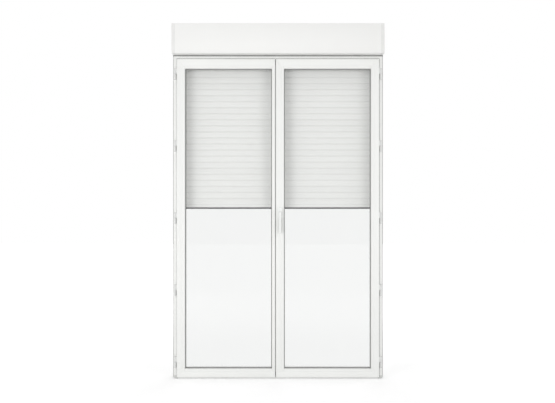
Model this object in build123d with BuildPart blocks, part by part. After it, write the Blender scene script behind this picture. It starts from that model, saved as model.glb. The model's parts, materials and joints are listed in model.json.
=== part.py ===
from build123d import *
from math import cos, pi, sin, sqrt
import os

os.makedirs("parts", exist_ok=True)

# A two-leaf inward-opening glazed door window with a roller shutter box on its head.
# X runs along the width, +Y points outdoors and Z is up. The origin lies on the ground,
# under the middle of the shutter box. All sizes are in millimetres.

# Overall
overall_width = 1280
frame_height = 1970
box_height = 180
box_depth = 180
box_projection = 70

# Fixed frame section
frame_width = 32
frame_depth = 65
frame_wall = 1.8
stop_reach = 24
edge_step = 6
edge_step_depth = 8
cleat_leg = 70
cleat_clearance = 0.2

# Threshold
threshold_height = 20
threshold_wall = 2
threshold_stop = 20
threshold_chamfer = 6
shoe_corner = 15

# Leaf sections
leaf_depth = 64
leaf_wall = 1.8
leaf_overlap = 8
bottom_overlap = 10
hardware_gap = 12
bottom_gap = 8
flange_thickness = 8
seal_gap = 3
stile_tube = 13
top_tube = 21.5
bottom_tube = 16.5
glass_rebate = 16.5
glass_lip = 4
groove_width = 12
groove_depth = 3.6
groove_middle = 3

# Meeting stiles: the right leaf opens first and its flange laps over the left leaf
active_body_x = 7
meeting_line = 4.5

# Glazing
pane_thickness = 4
pane_gap = 16
gasket_thickness = 4
gasket_cover = 7.5
inner_gasket_lip = 5
outer_gasket_lip = 1.5
pane_edge_clearance = 5.5
spacer_setback = 4
spacer_width = 9
bead_wall = 1.5
bead_joint = 0.2
block_length = 100
block_from_corner = 60

# Seals between leaf and frame
seal_width = 6
seal_inset = 1
seal_lip = 1.6
seal_clearance = 0.3
frame_seal_inset = 4

# Hinges
barrel_radius = 7
barrel_half = 33
hinge_pitch = 438.6
hinge_lowest = 101.1
hinge_count = 5
hinge_offset = 19.3
hinge_setout = 8
hinge_foot = 1.5
frame_foot = 2
frame_foot_width = 20
wing_thickness = 5
pin_radius = 4
pin_collar = 2
pin_collar_radius = 6.5
running_clearance = 0.05

# Handle and lock
handle_x = 13
handle_z = 1010
rosette_width = 32
rosette_height = 70
rosette_thickness = 10
rosette_corner = 14
rosette_edge = 2.5
lever_width = 16
lever_drop = 124
lever_projection = 45
lever_thickness = 12
lever_edge = 2.5
lever_tip_inset = 1
lever_tip_thickness = 7
lever_tip_height = 4
lever_tip_radius = 3.6
lever_swell = 1
lever_flat_margin = 1
neck_radius = 8.5
spindle_size = 6
spindle_socket = 20
lock_case_height = 120
faceplate_width = 16
faceplate_thickness = 1.6
faceplate_end = 60
rod_thickness = 1.4
rod_end = 75
rod_travel = 18
cam_radius = 4
cam_reach = 4.5
cam_spacing = 300
cam_bottom_inset = 300
cam_top_inset = 286
strike_thickness = 2
strike_height = 70
astragal_width = 40
astragal_thickness = 5
astragal_lap = 9
bolt_length = 190
bolt_thickness = 2.4
bolt_knob_radius = 3
bolt_knob_reach = 0.9
bolt_recess = 2
bolt_slot_clearance = 1

# Shutter guides and curtain
guide_width = 55
guide_depth = 45
guide_wall = 2
slot_width = 15.6
slot_depth = 27
curtain_plane = 23
brush_thickness = 1
brush_width = 6
brush_inset = 3
curtain_engagement = 21
slat_pitch = 37.5
slat_body = 32.5
slat_thickness = 8.5
slat_wall = 1
slat_line = 0.6
slat_foot_front = 0.8
slat_foot_back = 0.75
slat_shoulder_front = 0.7
slat_shoulder_back = 0.6
slat_belly = 0.45
neck_thickness = 1.2
hook_width = 3.2
hook_height = 1.4
hook_seat = 2.4
channel_width = 4.2
channel_height = 3
channel_floor = 2
channel_slot = 2
end_slat_height = 57
end_slat_thickness = 13
end_slat_step = 36
end_slat_wall = 1.6
bottom_seal_height = 10
bottom_seal_width = 9
seal_root_width = 5
seal_root_depth = 3
curtain_bottom = 1033

# Shutter box and winding tube
box_wall = 8
panel_skin = 1.4
panel_cells = 8
cap_width = 20
cap_wall = 4
cap_lip = 8
cap_lip_thickness = 3
cap_corner = 4
access_gap = 4
curtain_slot = 20
curtain_slot_end = 12
roll_clearance = 0.45
roll_radius = 63
tube_sides = 8
tube_flats = 60
tube_wall = 1.2
tube_end = 24
bracket_thickness = 3
bracket_size = 116
bracket_corner = 14
boss_radius = 46
motor_radius = 22.5
motor_length = 560
motor_head_radius = 27
crown_width = 14
drive_wheel_width = 20
drive_wheel_setback = 1
plug_length = 70
plug_flange = 3
idler_pin_radius = 6
bearing_radius = 16
bearing_width = 9
funnel_height = 22
funnel_flare = 3.5
funnel_cheek = 1.5

# Fixing holes in the jambs
fixing_radius = 3.5
fixing_heights = (235, 735, 1235, 1735)
fixing_y = -5

# Planes worked out from the sizes above
half_width = overall_width / 2
box_front = -box_depth / 2
box_back = box_depth / 2
frame_front = box_front + box_projection
frame_back = frame_front + frame_depth
flange_back = frame_front - seal_gap
leaf_front = flange_back - flange_thickness
leaf_back = leaf_front + leaf_depth
stop_front = leaf_back + seal_gap
lip_front = leaf_back - glass_lip
groove_front = groove_middle - groove_width / 2
groove_back = groove_middle + groove_width / 2
rebate_x = half_width - frame_width
stop_x = rebate_x - stop_reach
rebate_top = frame_height - frame_width
stop_top = rebate_top - stop_reach
stop_bottom = threshold_height + threshold_stop
leaf_edge_x = rebate_x + leaf_overlap
leaf_body_x = rebate_x - hardware_gap
leaf_top = rebate_top + leaf_overlap
leaf_body_top = rebate_top - hardware_gap
leaf_bottom = threshold_height - bottom_overlap
leaf_body_bottom = threshold_height + bottom_gap
side_flange = leaf_overlap + hardware_gap
bottom_flange = bottom_overlap + bottom_gap
sight_x = leaf_body_x - stile_tube - glass_rebate
sight_top = leaf_body_top - top_tube - glass_rebate
sight_bottom = leaf_body_bottom + bottom_tube + glass_rebate
cam_heights = (
    leaf_bottom + cam_bottom_inset,
    handle_z - cam_spacing / 2,
    handle_z + cam_spacing / 2,
    leaf_top - cam_top_inset,
)
passive_body_x = active_body_x - hardware_gap
passive_tube = stile_tube + active_body_x + passive_body_x
meeting_flange_x = active_body_x - side_flange
passive_nose_x = meeting_flange_x - meeting_line
active_sight_x = active_body_x + stile_tube + glass_rebate
passive_sight_x = passive_body_x - passive_tube - glass_rebate
pane_back = lip_front - gasket_thickness
pane_front = pane_back - 2 * pane_thickness - pane_gap
bead_back = pane_front - gasket_thickness
bolt_back = passive_body_x - groove_depth
bolt_slot = (bolt_back - bolt_slot_clearance, passive_body_x + bolt_slot_clearance)
pane_cover = glass_rebate - pane_edge_clearance
hinge_x = rebate_x + hinge_offset
hinge_y = frame_front - hinge_setout
box_top = frame_height + box_height
guide_front = frame_back
guide_back = guide_front + guide_depth
guide_mouth_x = half_width - guide_width
curtain_y = guide_front + curtain_plane
curtain_x = guide_mouth_x + curtain_engagement
roll_top_y = curtain_y - slat_thickness / 2 - roll_clearance
roll_y = roll_top_y - roll_radius
roll_z = frame_height + box_height / 2
cap_x = half_width - cap_width
bracket_x = cap_x - bracket_thickness
tube_x = cap_x - tube_end
end_slat_bottom = curtain_bottom + bottom_seal_height
slats_bottom = end_slat_bottom + end_slat_height
slat_count = round((roll_z - slats_bottom) / slat_pitch)
hinge_heights = [hinge_lowest + i * hinge_pitch for i in range(hinge_count)]


def section_plane(origin, inward):
    """A plane across a bar: its local x points into the opening and its local y outdoors."""
    return Plane(origin=origin, x_dir=inward, z_dir=Vector(*inward).cross(Vector(0, 1, 0)))


def mitre(outer, inner, kept):
    """The joint plane through two corners of a frame, facing the bar that is kept."""
    along = Vector(inner[0] - outer[0], 0, inner[1] - outer[1])
    normal = along.cross(Vector(0, 1, 0))
    if normal.dot(Vector(kept[0] - outer[0], 0, kept[1] - outer[1])) < 0:
        normal = normal * -1
    return Plane(origin=(outer[0], 0, outer[1]), x_dir=(0, 1, 0), z_dir=normal)


def span(low_x, high_x, low_y, high_y, mode=Mode.ADD):
    """A rectangle given by its edges."""
    with Locations(((low_x + high_x) / 2, (low_y + high_y) / 2)):
        Rectangle(high_x - low_x, high_y - low_y, mode=mode)


def frame_section():
    """Three-chamber jamb and head: a step along the outer edge and the stop as a hollow leg."""
    inner = frame_width + stop_reach
    step_floor = frame_front + edge_step_depth
    Polygon(
        (edge_step, frame_front),
        (frame_width, frame_front),
        (frame_width, stop_front),
        (inner, stop_front),
        (inner, frame_back),
        (0, frame_back),
        (0, step_floor),
        (edge_step, step_floor),
        align=None,
    )
    middle = (frame_front + stop_front) / 2
    low, high = frame_wall, frame_width - frame_wall
    Polygon(
        (edge_step + low, frame_front + frame_wall),
        (high, frame_front + frame_wall),
        (high, middle - frame_wall / 2),
        (low, middle - frame_wall / 2),
        (low, step_floor + frame_wall),
        (edge_step + low, step_floor + frame_wall),
        align=None,
        mode=Mode.SUBTRACT,
    )
    span(low, high, middle + frame_wall / 2, stop_front, Mode.SUBTRACT)
    span(low, inner - frame_wall, stop_front + frame_wall, frame_back - frame_wall, Mode.SUBTRACT)


def tube_chamber(start, tube, front):
    """The leaf tube's chamber, drawn in round the hardware groove."""
    low, high = start + leaf_wall, start + tube - leaf_wall
    step = start + groove_depth + leaf_wall
    Polygon(
        (low, front),
        (high, front),
        (high, leaf_back - leaf_wall),
        (low, leaf_back - leaf_wall),
        (low, groove_back + leaf_wall),
        (step, groove_back + leaf_wall),
        (step, groove_front - leaf_wall),
        (low, groove_front - leaf_wall),
        align=None,
        mode=Mode.SUBTRACT,
    )
    span(start, start + groove_depth, groove_front, groove_back, Mode.SUBTRACT)


def leaf_section(flange, tube):
    """Leaf bar with a flange lapping the frame, a grooved tube and a glazing rebate."""
    inner = flange + tube
    Polygon(
        (0, leaf_front),
        (inner, leaf_front),
        (inner, lip_front),
        (inner + glass_rebate, lip_front),
        (inner + glass_rebate, leaf_back),
        (flange, leaf_back),
        (flange, flange_back),
        (0, flange_back),
        align=None,
    )
    front, back = leaf_front + leaf_wall, flange_back - leaf_wall
    span(leaf_wall, inner - leaf_wall, front, back, Mode.SUBTRACT)
    tube_chamber(flange, tube, flange_back)


def passive_section():
    """Meeting stile of the left leaf, stepped back behind the right leaf's flange."""
    nose = passive_body_x - passive_nose_x
    Polygon(
        (0, frame_front),
        (nose, frame_front),
        (nose, leaf_front),
        (passive_tube, leaf_front),
        (passive_tube, lip_front),
        (passive_tube + glass_rebate, lip_front),
        (passive_tube + glass_rebate, leaf_back),
        (0, leaf_back),
        align=None,
    )
    tube_chamber(0, passive_tube, frame_front + leaf_wall)


def ring(low_x, high_x, low_z, high_z, width, front, back):
    """A rectangular frame of strip lying in the window's plane, drawn in from its outside."""
    with BuildSketch(Plane.XZ.offset(-back)) as strip:
        span(low_x, high_x, low_z, high_z)
        span(low_x + width, high_x - width, low_z + width, high_z - width, Mode.SUBTRACT)
    extrude(strip.sketch, amount=back - front)


def block(low, high):
    """A plain block between two corners."""
    with BuildSketch(Plane.XY.offset(low[2])) as base:
        span(low[0], high[0], low[1], high[1])
    extrude(base.sketch, amount=high[2] - low[2])


def disc(x, length, radius, y=roll_y, z=roll_z, mode=Mode.ADD):
    """A round piece along X, from x over a length, on the winding axis unless told otherwise."""
    with BuildSketch(Plane.YZ.offset(x)) as end:
        with Locations((y, z)):
            Circle(radius)
    extrude(end.sketch, amount=length, mode=mode)


# Fixed frame: two jambs and the head, mitred at the upper corners
for side, sign in (("left", -1), ("right", 1)):
    with BuildPart() as jamb:
        with BuildSketch(section_plane((sign * half_width, 0, threshold_height), (-sign, 0, 0))):
            frame_section()
        extrude(amount=frame_height - threshold_height, dir=(0, 0, 1))
        corner, rebate = (sign * half_width, frame_height), (sign * rebate_x, rebate_top)
        split(bisect_by=mitre(corner, rebate, (sign * half_width, 0)), keep=Keep.TOP)
        with BuildSketch(Plane.YZ.offset(sign * half_width)):
            with Locations(*[(fixing_y, height) for height in fixing_heights]):
                Circle(fixing_radius)
        extrude(amount=-sign * frame_width, mode=Mode.SUBTRACT)
    jamb.part.label = f"frame_jamb_{side}"
    export_step(jamb.part, f"parts/frame_jamb_{side}.step")

with BuildPart() as frame_head:
    with BuildSketch(section_plane((-half_width, 0, frame_height), (0, 0, -1))):
        frame_section()
    extrude(amount=overall_width, dir=(1, 0, 0))
    for sign in (-1, 1):
        corner, rebate = (sign * half_width, frame_height), (sign * rebate_x, rebate_top)
        split(bisect_by=mitre(corner, rebate, (0, frame_height)), keep=Keep.TOP)
    # Milled pocket that the left leaf's upper flush bolt shoots into
    with BuildSketch(Plane.XY.offset(rebate_top)):
        span(*bolt_slot, groove_front, groove_back)
    extrude(amount=rod_travel - bolt_recess + bolt_slot_clearance, mode=Mode.SUBTRACT)
frame_head.part.label = "frame_head"
export_step(frame_head.part, "parts/frame_head.step")

# Corner cleats pressed into the middle chamber at the mitres
with BuildPart() as frame_corner_cleats:
    cleat_front = (frame_front + stop_front + frame_wall) / 2 + cleat_clearance
    gap = frame_wall + cleat_clearance
    for sign in (-1, 1):
        outer_x, inner_x = sign * (half_width - gap), sign * (rebate_x + gap)
        end_x = sign * (rebate_x - cleat_leg)
        outer_z, inner_z, end_z = frame_height - gap, rebate_top + gap, rebate_top - cleat_leg
        with BuildSketch(Plane.XZ.offset(cleat_clearance - stop_front)):
            Polygon(
                (outer_x, outer_z),
                (end_x, outer_z),
                (end_x, inner_z),
                (inner_x, inner_z),
                (inner_x, end_z),
                (outer_x, end_z),
                align=None,
            )
        extrude(amount=stop_front - cleat_clearance - cleat_front)
frame_corner_cleats.part.label = "frame_corner_cleats"
export_step(frame_corner_cleats.part, "parts/frame_corner_cleats.step")

# Threshold between the shoes, running out under the shutter guides
with BuildPart() as threshold:
    with BuildSketch(Plane.YZ.offset(-rebate_x)):
        Polygon(
            (frame_front, 0),
            (guide_back, 0),
            (guide_back, threshold_height - threshold_chamfer),
            (guide_back - threshold_chamfer, threshold_height),
            (frame_front, threshold_height),
            align=None,
        )
        low, high = threshold_wall, threshold_height - threshold_wall
        span(frame_front + threshold_wall, stop_front - threshold_wall, low, high, Mode.SUBTRACT)
        span(stop_front, curtain_y - threshold_wall, low, high, Mode.SUBTRACT)
        outer = guide_back - threshold_chamfer - threshold_wall
        span(curtain_y, outer, low, high, Mode.SUBTRACT)
    extrude(amount=2 * rebate_x)
    with BuildSketch(Plane.YZ.offset(-stop_x)):
        span(stop_front, frame_back, threshold_height, stop_bottom)
        low, high = stop_front + threshold_wall, frame_back - threshold_wall
        span(low, high, threshold_height, stop_bottom - threshold_wall, Mode.SUBTRACT)
    extrude(amount=2 * stop_x)
    with BuildSketch(Plane.XY.offset(threshold_height - threshold_wall)):
        span(*bolt_slot, groove_front, groove_back)
    extrude(amount=threshold_wall, mode=Mode.SUBTRACT)
threshold.part.label = "threshold"
export_step(threshold.part, "parts/threshold.step")

# Moulded shoes that close the threshold under the jambs and guides
with BuildPart() as threshold_shoes:
    for sign in (-1, 1):
        with BuildSketch(Plane.XZ.offset(-guide_back)):
            with BuildLine():
                Polyline(
                    (sign * rebate_x, 0),
                    (sign * rebate_x, threshold_height),
                    (sign * half_width, threshold_height),
                    (sign * half_width, shoe_corner),
                )
                RadiusArc(
                    (sign * half_width, shoe_corner),
                    (sign * (half_width - shoe_corner), 0),
                    sign * shoe_corner,
                )
                Line((sign * (half_width - shoe_corner), 0), (sign * rebate_x, 0))
            make_face()
        extrude(amount=guide_back - frame_front)
threshold_shoes.part.label = "threshold_shoes"
export_step(threshold_shoes.part, "parts/threshold_shoes.step")

# Rubber strip on the outer stop, which the backs of the leaves press on
with BuildPart() as frame_seal:
    seal_x = stop_x + frame_seal_inset + seal_width
    seal_low = leaf_body_bottom + seal_inset
    seal_high = leaf_body_top - frame_seal_inset
    front = leaf_back + seal_clearance
    ring(-seal_x, seal_x, seal_low, seal_high, seal_width, front, stop_front)
frame_seal.part.label = "frame_seal"
export_step(frame_seal.part, "parts/frame_seal.step")


def knuckle(x, low):
    """One knuckle of a hinge, joined to what is there and bored through for the pin."""
    for radius, mode in ((barrel_radius, Mode.ADD), (pin_radius, Mode.SUBTRACT)):
        with BuildSketch(Plane.XY.offset(low)) as end:
            with Locations((x, hinge_y)):
                Circle(radius)
        extrude(end.sketch, amount=barrel_half, mode=mode)


# Hinges: the lower knuckle and its foot are fixed to the jamb face
with BuildPart() as hinge_frame_halves:
    for sign in (-1, 1):
        x = sign * hinge_x
        for height in hinge_heights:
            low = height - pin_collar / 2 - barrel_half
            top = low + barrel_half
            near = x - sign * barrel_radius
            far = sign * min(half_width - edge_step, abs(near) + frame_foot_width)
            foot = sorted((near, far))
            block((foot[0], frame_front - frame_foot, low), (foot[1], frame_front, top))
            web = (x - wing_thickness / 2, x + wing_thickness / 2)
            block((web[0], hinge_y, low), (web[1], frame_front, top))
            knuckle(x, low)
hinge_frame_halves.part.label = "hinge_frame_halves"
export_step(hinge_frame_halves.part, "parts/hinge_frame_halves.step")

# Pins with a collar that carries the leaf's knuckle
with BuildPart() as hinge_pins:
    for sign in (-1, 1):
        for height in hinge_heights:
            with BuildSketch(Plane.XY.offset(height - pin_collar / 2 - barrel_half)):
                with Locations((sign * hinge_x, hinge_y)):
                    Circle(pin_radius - running_clearance)
            extrude(amount=2 * barrel_half + pin_collar)
            with BuildSketch(Plane.XY.offset(height - pin_collar / 2)):
                with Locations((sign * hinge_x, hinge_y)):
                    Circle(pin_collar_radius)
            extrude(amount=pin_collar)
hinge_pins.part.label = "hinge_pins"
export_step(hinge_pins.part, "parts/hinge_pins.step")

# The leaves: hinge stile, meeting stile and two rails each, mitred at the corners
for side, sign in (("left", -1), ("right", 1)):
    body_x = passive_body_x if sign < 0 else active_body_x
    meeting_sight = passive_sight_x if sign < 0 else active_sight_x
    meeting_edge = passive_body_x if sign < 0 else meeting_flange_x
    top_outer = (sign * leaf_body_x, leaf_body_top)
    top_inner = (sign * sight_x, sight_top)
    low_outer = (sign * leaf_body_x, leaf_body_bottom)
    low_inner = (sign * sight_x, sight_bottom)
    meeting_top = ((body_x, leaf_body_top), (meeting_sight, sight_top))
    meeting_low = ((body_x, leaf_body_bottom), (meeting_sight, sight_bottom))
    middle_z = (leaf_top + leaf_bottom) / 2
    middle_x = sign * leaf_edge_x / 2

    with BuildPart() as stile_hinge:
        with BuildSketch(section_plane((sign * leaf_edge_x, 0, leaf_bottom), (-sign, 0, 0))):
            leaf_section(side_flange, stile_tube)
        extrude(amount=leaf_top - leaf_bottom, dir=(0, 0, 1))
        split(bisect_by=mitre(top_outer, top_inner, (sign * leaf_edge_x, middle_z)), keep=Keep.TOP)
        split(bisect_by=mitre(low_outer, low_inner, (sign * leaf_edge_x, middle_z)), keep=Keep.TOP)
    stile_hinge.part.label = f"{side}_leaf_hinge_stile"
    export_step(stile_hinge.part, f"parts/{side}_leaf_hinge_stile.step")

    with BuildPart() as stile_meeting:
        with BuildSketch(section_plane((meeting_edge, 0, leaf_bottom), (sign, 0, 0))):
            if sign < 0:
                passive_section()
            else:
                leaf_section(side_flange, stile_tube)
        extrude(amount=leaf_top - leaf_bottom, dir=(0, 0, 1))
        split(bisect_by=mitre(*meeting_top, (meeting_edge, middle_z)), keep=Keep.TOP)
        split(bisect_by=mitre(*meeting_low, (meeting_edge, middle_z)), keep=Keep.TOP)
        if sign > 0:
            # Routed pocket for the lock case and the hole for the handle's spindle
            case_x = active_body_x + stile_tube - leaf_wall
            case_low = handle_z - lock_case_height / 2
            with BuildSketch(Plane.XY.offset(case_low)):
                span(active_body_x, case_x, groove_front, groove_back)
            extrude(amount=lock_case_height, mode=Mode.SUBTRACT)
            with BuildSketch(Plane.XZ.offset(-groove_front)):
                with Locations((handle_x, handle_z)):
                    Circle(spindle_size * sqrt(0.5) + running_clearance)
            extrude(amount=groove_front - leaf_front, mode=Mode.SUBTRACT)
    stile_meeting.part.label = f"{side}_leaf_meeting_stile"
    export_step(stile_meeting.part, f"parts/{side}_leaf_meeting_stile.step")

    for rail, inward, flange, tube in (
        ("top", -1, side_flange, top_tube),
        ("bottom", 1, bottom_flange, bottom_tube),
    ):
        edge_z = leaf_top if rail == "top" else leaf_bottom
        hinge_corner = (top_outer, top_inner) if rail == "top" else (low_outer, low_inner)
        meeting_corner = meeting_top if rail == "top" else meeting_low
        start_x = min(sign * leaf_edge_x, meeting_edge)
        with BuildPart() as leaf_rail:
            with BuildSketch(section_plane((start_x, 0, edge_z), (0, 0, inward))):
                leaf_section(flange, tube)
            extrude(amount=abs(sign * leaf_edge_x - meeting_edge), dir=(1, 0, 0))
            split(bisect_by=mitre(*hinge_corner, (middle_x, edge_z)), keep=Keep.TOP)
            split(bisect_by=mitre(*meeting_corner, (middle_x, edge_z)), keep=Keep.TOP)
            if sign < 0:
                # The left leaf's rails stop short in front, where the right flange laps over
                rail_low = min(edge_z, edge_z + inward * (flange + tube + glass_rebate))
                with BuildSketch(Plane.XY.offset(rail_low)):
                    span(passive_nose_x, passive_body_x, leaf_front, frame_front)
                extrude(amount=flange + tube + glass_rebate, mode=Mode.SUBTRACT)
                # and their ends are notched for the flush bolts
                with BuildSketch(Plane.XY.offset(rail_low)):
                    span(bolt_slot[0], passive_body_x, groove_front, groove_back)
                extrude(amount=flange + tube + glass_rebate, mode=Mode.SUBTRACT)
        leaf_rail.part.label = f"{side}_leaf_{rail}_rail"
        export_step(leaf_rail.part, f"parts/{side}_leaf_{rail}_rail.step")

    # Glazing: the daylight opening's edges, then each piece set out from them
    low_x, high_x = sorted((sign * sight_x, meeting_sight))

    with BuildPart() as panes:
        edge = pane_cover
        for front in (pane_front, pane_back - pane_thickness):
            with BuildSketch(Plane.XZ.offset(-front - pane_thickness)):
                span(low_x - edge, high_x + edge, sight_bottom - edge, sight_top + edge)
            extrude(amount=pane_thickness)
    panes.part.label = f"{side}_leaf_panes"
    export_step(panes.part, f"parts/{side}_leaf_panes.step")

    with BuildPart() as spacer:
        edge = pane_cover - spacer_setback
        front, back = pane_front + pane_thickness, pane_back - pane_thickness
        outer = (low_x - edge, high_x + edge, sight_bottom - edge, sight_top + edge)
        ring(*outer, spacer_width, front, back)
    spacer.part.label = f"{side}_leaf_spacer"
    export_step(spacer.part, f"parts/{side}_leaf_spacer.step")

    with BuildPart() as beads:
        rebate = glass_rebate
        for x, inward in ((low_x - rebate, 1), (high_x + rebate, -1)):
            with BuildSketch(section_plane((x, 0, sight_bottom - rebate), (inward, 0, 0))):
                span(0, rebate, leaf_front, bead_back)
                inner = rebate - bead_wall
                span(bead_wall, inner, leaf_front + bead_wall, bead_back - bead_wall, Mode.SUBTRACT)
            extrude(amount=sight_top - sight_bottom + 2 * rebate, dir=(0, 0, 1))
        for z, inward in ((sight_bottom - rebate, 1), (sight_top + rebate, -1)):
            with BuildSketch(section_plane((low_x + bead_joint, 0, z), (0, 0, inward))):
                span(0, rebate, leaf_front, bead_back)
                inner = rebate - bead_wall
                span(bead_wall, inner, leaf_front + bead_wall, bead_back - bead_wall, Mode.SUBTRACT)
            extrude(amount=high_x - low_x - 2 * bead_joint, dir=(1, 0, 0))
    beads.part.label = f"{side}_leaf_beads"
    export_step(beads.part, f"parts/{side}_leaf_beads.step")

    # Gaskets on both faces of the glass, and the seal on the back of the leaf's flange
    with BuildPart() as gaskets:
        outer = (low_x - gasket_cover, high_x + gasket_cover)
        outer += (sight_bottom - gasket_cover, sight_top + gasket_cover)
        ring(*outer, gasket_cover + inner_gasket_lip, bead_back, pane_front)
        ring(*outer, gasket_cover + outer_gasket_lip, pane_back, lip_front)
        seal_back = frame_front - seal_clearance
        edge_x = sign * (leaf_edge_x + seal_lip)
        seal_low, seal_high = leaf_bottom - seal_lip, leaf_top + seal_lip
        if sign > 0:
            start = meeting_flange_x - seal_lip
            ring(start, edge_x, seal_low, seal_high, seal_width, flange_back, seal_back)
        else:
            end = passive_nose_x - seal_inset
            with BuildSketch(Plane.XZ.offset(-seal_back)):
                span(edge_x, end, seal_low, seal_high)
                inner_low, inner_high = seal_low + seal_width, seal_high - seal_width
                span(edge_x + seal_width, end, inner_low, inner_high, Mode.SUBTRACT)
            extrude(amount=seal_back - flange_back)
    gaskets.part.label = f"{side}_leaf_gaskets"
    export_step(gaskets.part, f"parts/{side}_leaf_gaskets.step")

    # Packers under, over and beside the glass
    with BuildPart() as glazing_blocks:
        near = block_from_corner + block_length / 2
        edge = pane_cover + pane_edge_clearance / 2
        rows = (sight_bottom - edge, sight_top + edge)
        columns = (low_x - edge, high_x + edge)
        with BuildSketch(Plane.XZ.offset(-pane_back)):
            with Locations(*[(x, z) for x in (low_x + near, high_x - near) for z in rows]):
                Rectangle(block_length, pane_edge_clearance)
            heights = (sight_bottom + near, sight_top - near)
            with Locations(*[(x, z) for x in columns for z in heights]):
                Rectangle(pane_edge_clearance, block_length)
        extrude(amount=pane_back - pane_front)
    glazing_blocks.part.label = f"{side}_leaf_glazing_blocks"
    export_step(glazing_blocks.part, f"parts/{side}_leaf_glazing_blocks.step")

    # Upper hinge knuckles, each with a wing and a foot against the leaf's edge
    with BuildPart() as leaf_hinges:
        x = sign * hinge_x
        for height in hinge_heights:
            low = height + pin_collar / 2
            top = low + barrel_half
            foot = sorted((sign * leaf_edge_x, sign * (leaf_edge_x + hinge_foot)))
            wing = sorted((sign * leaf_edge_x, x))
            block((foot[0], leaf_front, low), (foot[1], flange_back, top))
            wing_front = hinge_y - wing_thickness / 2
            block((wing[0], wing_front, low), (wing[1], wing_front + wing_thickness, top))
            knuckle(x, low)
    leaf_hinges.part.label = f"{side}_leaf_hinge_halves"
    export_step(leaf_hinges.part, f"parts/{side}_leaf_hinge_halves.step")

# Cover strip on the back of the left leaf, lapping over the right one
with BuildPart() as astragal:
    seat_x = passive_body_x + active_body_x + astragal_lap + leaf_wall
    low_x = seat_x - astragal_width
    with BuildSketch(Plane.XY.offset(stop_bottom + seal_inset)):
        Polygon(
            (low_x, leaf_back),
            (passive_body_x, leaf_back),
            (passive_body_x, leaf_back + seal_inset),
            (seat_x, leaf_back + seal_inset),
            (seat_x, leaf_back + astragal_thickness),
            (low_x, leaf_back + astragal_thickness),
            align=None,
        )
    extrude(amount=stop_top - stop_bottom - 2 * seal_inset)
astragal.part.label = "left_leaf_astragal"
export_step(astragal.part, "parts/left_leaf_astragal.step")

# Flat strikes on the left leaf's edge, facing the cams
with BuildPart() as strike_plates:
    for height in cam_heights:
        low = (passive_body_x, groove_middle - faceplate_width / 2, height - strike_height / 2)
        high = (low[0] + strike_thickness, low[1] + faceplate_width, height + strike_height / 2)
        block(low, high)
strike_plates.part.label = "left_leaf_strike_plates"
export_step(strike_plates.part, "parts/left_leaf_strike_plates.step")

# Flush bolts in the left leaf's edge groove, drawn back at rest
bolt_x = passive_body_x - groove_depth + cleat_clearance
for end, low in (
    ("top", rebate_top - bolt_recess - bolt_length),
    ("bottom", threshold_height + bolt_recess),
):
    with BuildPart() as flush_bolt:
        half = groove_width / 2 - cleat_clearance
        block(
            (bolt_x, groove_middle - half, low),
            (bolt_x + bolt_thickness, groove_middle + half, low + bolt_length),
        )
        tip = flush_bolt.edges().filter_by(Axis.X).group_by(Axis.Z)[-1 if end == "top" else 0]
        chamfer(tip, bolt_thickness)
        knob_z = low + bolt_length / 2
        knob_x = bolt_x + bolt_thickness
        disc(knob_x, bolt_knob_reach, bolt_knob_radius, groove_middle, knob_z)
    flush_bolt.part.label = f"flush_bolt_{end}"
    export_step(flush_bolt.part, f"parts/flush_bolt_{end}.step")

# Lock of the right leaf: case, slotted faceplate and the sliding rod with its cams
case_clearance = cleat_clearance
with BuildPart() as lock_case:
    low_x, high_x = active_body_x + groove_depth, case_x - case_clearance
    low, high = case_low + case_clearance, handle_z + lock_case_height / 2 - case_clearance
    block(
        (low_x, groove_front + case_clearance, low),
        (high_x, groove_back - case_clearance, high),
    )
    with BuildSketch(Plane.XZ.offset(-groove_back)):
        with Locations((handle_x, handle_z)):
            Circle(spindle_size * sqrt(0.5) + running_clearance)
    extrude(amount=groove_width, mode=Mode.SUBTRACT)
lock_case.part.label = "lock_case"
export_step(lock_case.part, "parts/lock_case.step")

with BuildPart() as lock_faceplate:
    plate_low, plate_high = leaf_body_bottom + faceplate_end, leaf_body_top - faceplate_end
    block(
        (active_body_x - faceplate_thickness, groove_middle - faceplate_width / 2, plate_low),
        (active_body_x, groove_middle + faceplate_width / 2, plate_high),
    )
    with BuildSketch(Plane.YZ.offset(active_body_x - faceplate_thickness)):
        with Locations(*[(groove_middle, height + rod_travel / 2) for height in cam_heights]):
            SlotOverall(
                rod_travel + 2 * cam_radius + 4 * cleat_clearance,
                2 * (cam_radius + cleat_clearance),
                rotation=90,
            )
    extrude(amount=faceplate_thickness, mode=Mode.SUBTRACT)
lock_faceplate.part.label = "lock_faceplate"
export_step(lock_faceplate.part, "parts/lock_faceplate.step")

with BuildPart() as lock_rod:
    rod_x = active_body_x + cleat_clearance
    half = groove_width / 2 - cleat_clearance
    rod_low, rod_high = leaf_body_bottom + rod_end, leaf_body_top - rod_end
    block(
        (rod_x, groove_middle - half, rod_low),
        (rod_x + rod_thickness, groove_middle + half, rod_high),
    )
    for height in cam_heights:
        reach = faceplate_thickness + cam_reach + cleat_clearance
        disc(rod_x - reach, reach, cam_radius, groove_middle, height)
lock_rod.part.label = "lock_rod"
export_step(lock_rod.part, "parts/lock_rod.step")

# Handle: rosette on the stile, lever with its neck, and the square spindle
with BuildPart() as handle_rosette:
    with BuildSketch(Plane.XZ.offset(-leaf_front)):
        with Locations((handle_x, handle_z)):
            RectangleRounded(rosette_width, rosette_height, rosette_corner)
    extrude(amount=rosette_thickness)
    chamfer(handle_rosette.faces().sort_by(Axis.Y)[0].edges(), rosette_edge)
    with BuildSketch(Plane.XZ.offset(-leaf_front)):
        with Locations((handle_x, handle_z)):
            Circle(neck_radius + running_clearance)
    extrude(amount=rosette_thickness, mode=Mode.SUBTRACT)
handle_rosette.part.label = "handle_rosette"
export_step(handle_rosette.part, "parts/handle_rosette.step")

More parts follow.
